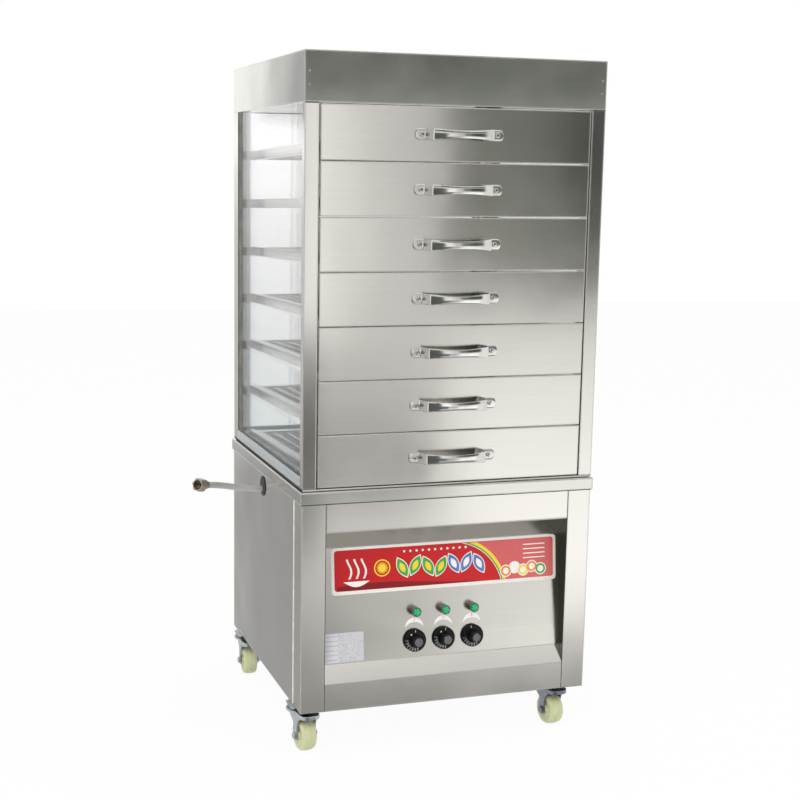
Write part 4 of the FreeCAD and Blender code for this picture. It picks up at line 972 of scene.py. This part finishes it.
# The foot gap and hood gap beads are painted shadow under the drawers and under the hood.
bead("foot_gap", (-0.2985, -0.2800, 0.5319), (0.2985, -0.2800, 0.5319), (0, 0, 0.0006), (0, -0.0020, 0),
     painted_gap_shade)
bead("hood_gap", (-0.2700, -0.2790, 1.2448), (0.2700, -0.2790, 1.2448), (0, 0, 0.0006), (0, -0.0012, 0),
     painted_gap_shade)
# Against the glass: dark strips of painted reflection, and a grey channel of painted shade.
painted_reflection_strip = soft_black("dark glazing strip, painted reflection", "#54544a", 0.5)
shaded_channel = plain_metal("shaded channel steel", "#75828a", 0.36, speckle=25.0)
bloomed_steel = sheet_steel("lime bloomed stainless", "#c6cfd1", level_grain, roughness=0.34, haze=0.1)
dress(bloomed_steel, "cabinet_sills")
# The drawer gap beads are painted shade in the gaps beside the drawers.
bead_pair("drawer_gap_{}", (0.2716, -0.2800, 0.5320), (0.2716, -0.2800, 1.2440), (0.0007, 0, 0),
          (0, -0.0014, 0), painted_gap_shade)
bead_pair("glazing_reflection_band_{}", (0.2985, 0.2378, 0.5535), (0.2985, 0.2378, 1.2455), (0, 0.0188, 0),
          (0.0004, 0, 0), painted_reflection_strip)
bead_pair("glazing_reflection_edge_{}", (0.2920, 0.2566, 0.5330), (0.2920, 0.2566, 1.2455), (0.0024, 0, 0),
          (0, -0.0015, 0), painted_reflection_strip)
bead_pair("glazing_stop_{}", (0.2890, 0.2566, 0.5330), (0.2890, 0.2566, 1.2455), (0.0007, 0, 0),
          (0, -0.0022, 0), base_steel)
bead_pair("glazing_channel_{}", (0.2805, 0.2571, 0.5330), (0.2805, 0.2571, 1.2455), (0.0078, 0, 0),
          (0, -0.0014, 0), shaded_channel)
bead_pair("foot_seal_{}", (0.2999, -0.2800, 0.5304), (0.2999, 0.2920, 0.5304), (0, 0, 0.0020),
          (0.0008, 0, 0), black_rubber)
for tenths, height in ((5341, 0.5341), (5460, 0.5460)):
    bead_pair("sill_fold_{}_" + str(tenths), (0.2999, -0.2655, height), (0.2999, 0.2565, height),
              (0, 0, 0.0012), (0.0007, 0, 0), base_steel)
# The post head seams are painted shadow under the hood; the small tabs are plain steel.
bead_pair("post_head_seam_{}", (0.2990, -0.2818, 1.2452), (0.2730, -0.2818, 1.2452), (0, 0, 0.0010),
          (0, -0.0004, 0), painted_gap_shade)
bead_pair("hood_tab_{}", (0.2727, -0.2818, 1.2463), (0.2668, -0.2818, 1.2463), (0, 0, 0.0015),
          (0, -0.0007, 0), base_steel)


# Side and back glass. Clear 4 mm toughened panes against the posts. They reflect less
# than clean glass would, so that the trays and trims behind them still show.
def clear_glass(name):
    """Clear float glass, faintly green at its foot; a share of the light goes straight through."""
    material, tree = new_material(name)
    straight_share = 0.45
    height = split(tree, object_place(tree))["Z"]
    bloom = remap(tree, height, 0.55, 0.95)
    tint = blend(tree, bloom, "#f8fbfb", "#ffffff")
    shader = add(tree, "ShaderNodeBsdfPrincipled",
                 {"Base Color": tint, "Roughness": 0.0, "IOR": 1.5, "Transmission Weight": 1.0})
    clear = add(tree, "ShaderNodeBsdfTransparent", {"Color": tint})
    path = add(tree, "ShaderNodeLightPath")
    passing = maths(tree, "MAXIMUM", path.outputs["Is Shadow Ray"], path.outputs["Is Diffuse Ray"])
    share = maths(tree, "MAXIMUM", passing, straight_share)
    mixed = add(tree, "ShaderNodeMixShader", {0: share, 1: shader, 2: clear})
    surface(tree, mixed)
    return material


dress(clear_glass("clear toughened glass"), "glass_left", "glass_right", "glass_back")


# Drawers. Each folded front carries a welded grid tray: flat bars run front to back
# over fine cross wires.
drawer_steel = sheet_steel("mill finish stainless, drawer fronts", "#d5d2cc", level_grain, ripple=0.0008)
tray_steel = plain_metal("grid wire stainless", "#b9bab8", 0.3)
wire_pitch = 0.012
wire_radius = 0.001


def cross_wires(tree, given, index):
    """Parallel wires in a row."""
    wire = add(tree, "GeometryNodeMeshCylinder", {"Vertices": 6, "Radius": given["Radius"],
                                                  "Depth": given["Length"]})
    along = add(tree, "ShaderNodeCombineXYZ", {"Y": maths(tree, "MULTIPLY", index, given["Pitch"])})
    return wire.outputs["Mesh"], along, (0, math.pi / 2, 0)


slide = joint("drawer_1_slide")
fall = math.atan2(slide["axis"][2], -slide["axis"][1])
tray_wire_drop = 0.0056
tray_wire_start = 0.030
tray_wire_span = 0.484
tray_width = 0.524
runner_from_front = 0.0186
runner_from_foot = 0.033
wire_inputs = {"Count": int(tray_wire_span / wire_pitch), "Pitch": wire_pitch, "Length": tray_width,
               "Radius": wire_radius}
for i in range(1, 8):
    dress(drawer_steel, f"drawer_{i}")
    low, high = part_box(f"drawer_{i}")
    runner_corner = Vector((0, low.y + runner_from_front, low.z + runner_from_foot))
    lay = Matrix.Translation(runner_corner) @ Matrix.Rotation(-fall, 4, "X")
    lay = lay @ Matrix.Translation((0, tray_wire_start, -tray_wire_drop))
    wires = laid_out(f"tray_wires_{i}", wire_inputs, cross_wires, tray_steel, lay)
    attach(wires, f"drawer_{i}_body")


# Handles. Pressed stainless bows, polished, with a shallow crown across the grip and
# a pan-head screw through each end tab, held by a nut behind the drawer's front.
handle_half = 88.0
tab_round = 7.35
tab_height = 21.0
waist_height = 14.6
tab_half_thick = 1.0
grip_half_thick = 1.3
tab_inner_x = 66.0
shoulder_x = 59.0
handle_line = [(-x, 1.0) for x in (88.0, 87.6, 86.8, 85.5, 83.5, 80.5, 74.0, 68.0)]
handle_line += [(-66.5, 1.6), (-60.4, 24.6), (-58.0, 26.0), (-45.0, 28.8), (-30.0, 31.0), (-15.0, 32.3),
                (0.0, 32.7)]
handle_line += [(-x, out) for x, out in reversed(handle_line[:-1])]
strap_section = [(-1.0, -0.1), (-0.94, 0.35), (-0.75, 0.62), (-0.4, 0.88), (0.0, 1.0), (0.4, 0.88),
                 (0.75, 0.62), (0.94, 0.35), (1.0, -0.1), (0.94, -0.85), (0.0, -1.0), (-0.94, -0.85)]


def soften(points, rounds):
    """Cuts the corners of a line again and again, so that its bends become curves."""
    for _ in range(rounds):
        cut = [points[0]]
        for (ax, ay), (bx, by) in zip(points, points[1:]):
            cut.append((ax * 0.75 + bx * 0.25, ay * 0.75 + by * 0.25))
            cut.append((ax * 0.25 + bx * 0.75, ay * 0.25 + by * 0.75))
        cut.append(points[-1])
        points = cut
    return points


def strap_height(x):
    """How high the strap is at a place along the handle."""
    reach = abs(x)
    into_round = reach - (handle_half - tab_round)
    if into_round > 0:
        return tab_height - 2 * (tab_round - math.sqrt(max(tab_round ** 2 - into_round ** 2, 0)))
    if reach < shoulder_x:
        return waist_height + (tab_height - waist_height) * (reach / shoulder_x) ** 2
    return tab_height


def bow_strap(name, middle, material):
    """The crowned strap of a handle, run along its bent line."""
    line = soften(handle_line, 2)
    rings = []
    vertices = []
    for i, (x, out) in enumerate(line):
        before = line[max(i - 1, 0)]
        after = line[min(i + 1, len(line) - 1)]
        run = Vector((after[0] - before[0], after[1] - before[1])).normalized()
        off = Vector((-run.y, run.x))
        half_thick = tab_half_thick if abs(x) > tab_inner_x else grip_half_thick
        ring = []
        for up_share, out_share in strap_section:
            px = x + off.x * half_thick * out_share
            po = out + off.y * half_thick * out_share
            ring.append(len(vertices))
            vertices.append(middle + Vector((px, -po, up_share * strap_height(x) / 2)) * millimetre)
        rings.append(ring)
    faces = [tuple(rings[0]), tuple(reversed(rings[-1]))] + skin(rings, len(strap_section))
    return place_mesh(name, vertices, faces, material, 40)


weld_profile = [(-0.3, 0), (-0.3, 1.9), (0.1, 1.7), (0.4, 0.9), (0.5, 0)]
outwards = Vector((0, -1, 0))
for side_name, side in (("left", -1), ("right", 1)):
    for height in (1.301, 1.277):
        seat = Vector((side * 0.2912, -0.2820, height))
        weld_name = f"hood_weld_{side_name}_{round(height * 1000)}"
        weld = turned(weld_name, weld_profile, seat, outwards, hood_steel, 16)
        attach(weld, "cabinet")
polished = plain_metal("polished stainless", "#d9d8d4", 0.10, speckle=25.0, edge=0.0003)
screw_x = 75.5
screw_head = [(1.9, 0), (1.9, 4.5), (3.3, 4.5), (3.9, 4.1), (4.2, 3.2), (4.2, 1.7), (3.2, 1.3), (3.2, 0)]
screw_socket = [(3.0, 0), (3.0, 1.5), (3.35, 1.5), (3.35, 0)]
screw_nut = [(-4.2, 0), (-4.2, 4.0), (-1.2, 4.0), (-1.2, 0)]
handle_centre = 50.15
for i in range(1, 8):
    low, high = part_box(f"drawer_{i}")
    middle = Vector((0, low.y, low.z + handle_centre * millimetre))
    pieces = [bow_strap("strap", middle, polished)]
    for side in (-1, 1):
        seat = middle + Vector((side * screw_x * millimetre, 0, 0))
        # The dark socket disc in each screw head is painted shade in its recess.
        for name, profile, metal, steps in (("screw", screw_head, polished, 24),
                                            ("socket", screw_socket, painted_gap_shade, 6),
                                            ("nut", screw_nut, zinc, 6)):
            pieces.append(turned(name, profile, seat, outwards, metal, steps))
    handle = join(f"handle_{i}", pieces)
    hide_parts(f"drawer_handle_{i}")
    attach(handle, f"drawer_{i}_body")


# Floor. White seamless paper under the castors. It shows as plain white and keeps
# the object's shadow.
def white_floor(name):
    """White paper that stays white to the eye and keeps a faint shadow."""
    material, tree = new_material(name)
    paper = add(tree, "ShaderNodeBsdfDiffuse", {"Color": linear("#f2f2f2")})
    glow = add(tree, "ShaderNodeEmission", {"Color": (1, 1, 1, 1), "Strength": 1.0})
    glow_share = 0.94
    share = maths(tree, "MULTIPLY", seen_directly(tree), glow_share)
    mixed = add(tree, "ShaderNodeMixShader", {0: share, 1: paper, 2: glow})
    surface(tree, mixed)
    return material


def seen_directly(tree):
    """1 for a ray from the camera, off polished metal or through glass, and 0 for soft light."""
    path = add(tree, "ShaderNodeLightPath")
    first = maths(tree, "MAXIMUM", path.outputs["Is Camera Ray"], path.outputs["Is Transmission Ray"])
    both = maths(tree, "MAXIMUM", first, path.outputs["Is Glossy Ray"])
    return both


floor_half = 9.0
floor = place_mesh("floor", [(-floor_half, -floor_half, 0), (floor_half, -floor_half, 0),
                             (floor_half, floor_half, 0), (-floor_half, floor_half, 0)], [(0, 1, 2, 3)],
                   white_floor("white floor paper"))
floor.visible_glossy = False
floor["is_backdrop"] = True


# Studio cards. Bright metal shows whatever stands round it, so soft-edged grey, black
# and white cards stand in front of the object and behind it, as in a product studio.
# Only gloss sees them: they neither light the object nor shade it.
def card(name, corners, soft, low_level, high_level, hex_colour):
    """A soft-edged card: corners from the lower left, soft widths in the order left, right, low, high."""
    width = (Vector(corners[1]) - Vector(corners[0])).length
    height = (Vector(corners[3]) - Vector(corners[0])).length
    material, tree = new_material(name + " paper")
    uv = add(tree, "ShaderNodeUVMap", uv_map="card")
    parts = split(tree, uv.outputs["UV"])
    cover = None
    for part, start, end in (("X", 0, soft[0] / width), ("X", 1, 1 - soft[1] / width),
                             ("Y", 0, soft[2] / height), ("Y", 1, 1 - soft[3] / height)):
        fade = remap(tree, parts[part], start, end, interpolation_type="SMOOTHSTEP")
        cover = fade if cover is None else maths(tree, "MULTIPLY", cover, fade)
    level = remap(tree, parts["Y"], 0.0, 1.0, low_level, high_level)
    glow = add(tree, "ShaderNodeEmission", {"Color": linear(hex_colour), "Strength": level})
    clear = add(tree, "ShaderNodeBsdfTransparent")
    shown = add(tree, "ShaderNodeMixShader", {0: cover, 1: clear, 2: glow})
    surface(tree, shown)
    material.cycles.emission_sampling = "NONE"
    mesh = bpy.data.meshes.new(name)
    mesh.from_pydata(corners, [], [(0, 1, 2, 3)])
    layer = mesh.uv_layers.new(name="card")
    for loop, uv_place in zip(layer.data, ((0, 0), (1, 0), (1, 1), (0, 1))):
        loop.uv = uv_place
    mesh.materials.append(material)
    piece = place_object(name, mesh)
    for kind in ("camera", "diffuse", "transmission", "shadow"):
        setattr(piece, "visible_" + kind, False)
    piece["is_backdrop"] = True


white = "#ffffff"


def upright_card(name, y, left, right, low, high, soft, low_level, high_level, hex_colour=white):
    """A card that stands square to the object's front."""
    corners = [(left, y, low), (right, y, low), (right, y, high), (left, y, high)]
    card(name, corners, soft, low_level, high_level, hex_colour)


cool_dark = "#eaefe7"
upright_cards = [
    ("left_flag", -4.10, -3.20, 0.40, -1.6, 1.7, (0.2, 0.12, 0.3, 0.2), 0.16, 0.16, cool_dark),
    ("low_post_card", -4.12, 0.28, 0.84, -0.70, 0.42, (0.08, 0.06, 0.12, 0.20), 0.18, 0.20),
    ("left_reflector", -4.18, 0.44, 1.10, 0.10, 1.80, (0.05, 0.32, 0.50, 0.35), 1.38, 1.12),
    ("ground_sheet", -4.20, -2.6, 3.60, -3.9, -1.08, (0.3, 0.3, 0.3, 0.38), 0.34, 0.36),
    ("right_flag", -4.22, 1.80, 3.60, 0.35, 1.95, (0.55, 0.3, 0.45, 0.2), 0.14, 0.07, cool_dark),
    ("middle_flag", -4.25, 1.46, 3.60, 0.30, 1.95, (0.05, 0.3, 0.48, 0.2), 0.34, 0.22, cool_dark),
    ("grey_wall", -4.30, 0.84, 1.53, 0.00, 1.95, (0.60, 0.05, 0.40, 0.2), 0.84, 0.70),
    ("grey_low", -4.32, 0.84, 1.53, -0.50, 0.40, (0.06, 0.05, 0.05, 0.1), 0.38, 0.86),
    ("right_reflector", -4.35, 1.40, 3.60, -1.50, 0.70, (0.42, 0.3, 0.70, 0.5), 1.80, 0.92),
    ("stile_grey", -4.38, 0.30, 0.99, -1.75, -0.86, (0.1, 0.08, 0.1, 0.25), 0.38, 0.58),
    ("left_step", -4.40, 0.20, 1.90, -1.50, -0.48, (0.1, 1.2, 0.3, 0.04), 0.62, 1.02),
    ("hood_flag", -4.15, -2.0, 3.60, 1.95, 2.70, (0.3, 0.3, 0.20, 0.12), 0.13, 0.09, cool_dark),
    ("back_grey", 4.50, -2.8, -1.05, -2.4, -0.15, (0.4, 0.2, 0.3, 0.3), 0.42, 0.38),
    ("back_window_grey", 4.40, -2.6, -0.95, -0.45, 1.05, (0.3, 0.2, 0.2, 0.2), 0.50, 0.78),
    ("back_high_grey", 4.45, -3.2, -1.30, 1.32, 2.60, (0.3, 0.12, 0.10, 0.3), 0.42, 0.46),
    ("back_reflector", 4.48, -2.00, 0.60, 1.10, 2.60, (0.30, 0.3, 0.15, 0.3), 1.32, 1.32),
]
for row in upright_cards:
    upright_card(*row)
card("pit_sheet", [(-2.0, -4.3, -3.95), (3.6, -4.3, -3.95), (3.6, 0.5, -3.95), (-2.0, 0.5, -3.95)],
     (0.3, 0.3, 0.3, 0.3), 0.60, 0.60, white)

world = bpy.data.worlds.new("studio")
scene.world = world
world.use_nodes = True
tree = world.node_tree
tree.nodes.clear()
room = add(tree, "ShaderNodeBackground", {"Color": linear("#fffcf8"), "Strength": 0.85})
backdrop = add(tree, "ShaderNodeBackground", {"Color": (1, 1, 1, 1), "Strength": 1.0})
shown = add(tree, "ShaderNodeMixShader", {0: seen_directly(tree), 1: room, 2: backdrop})
add(tree, "ShaderNodeOutputWorld", {"Surface": shown})

softboxes = (("left_softbox", (-2.4, -2.6, 2.9), 1.6, 40), ("top_softbox", (0.6, -0.4, 3.6), 2.0, 30))
for name, place, size, power in softboxes:
    lamp_data = bpy.data.lights.new(name, "AREA")
    lamp_data.size = size
    lamp_data.energy = power
    lamp = place_object(name, lamp_data)
    lamp.location = place
    lamp.rotation_euler = (Vector((0, 0, 0.6)) - Vector(place)).to_track_quat("-Z", "Y").to_euler()
    lamp.visible_glossy = False

low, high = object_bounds()
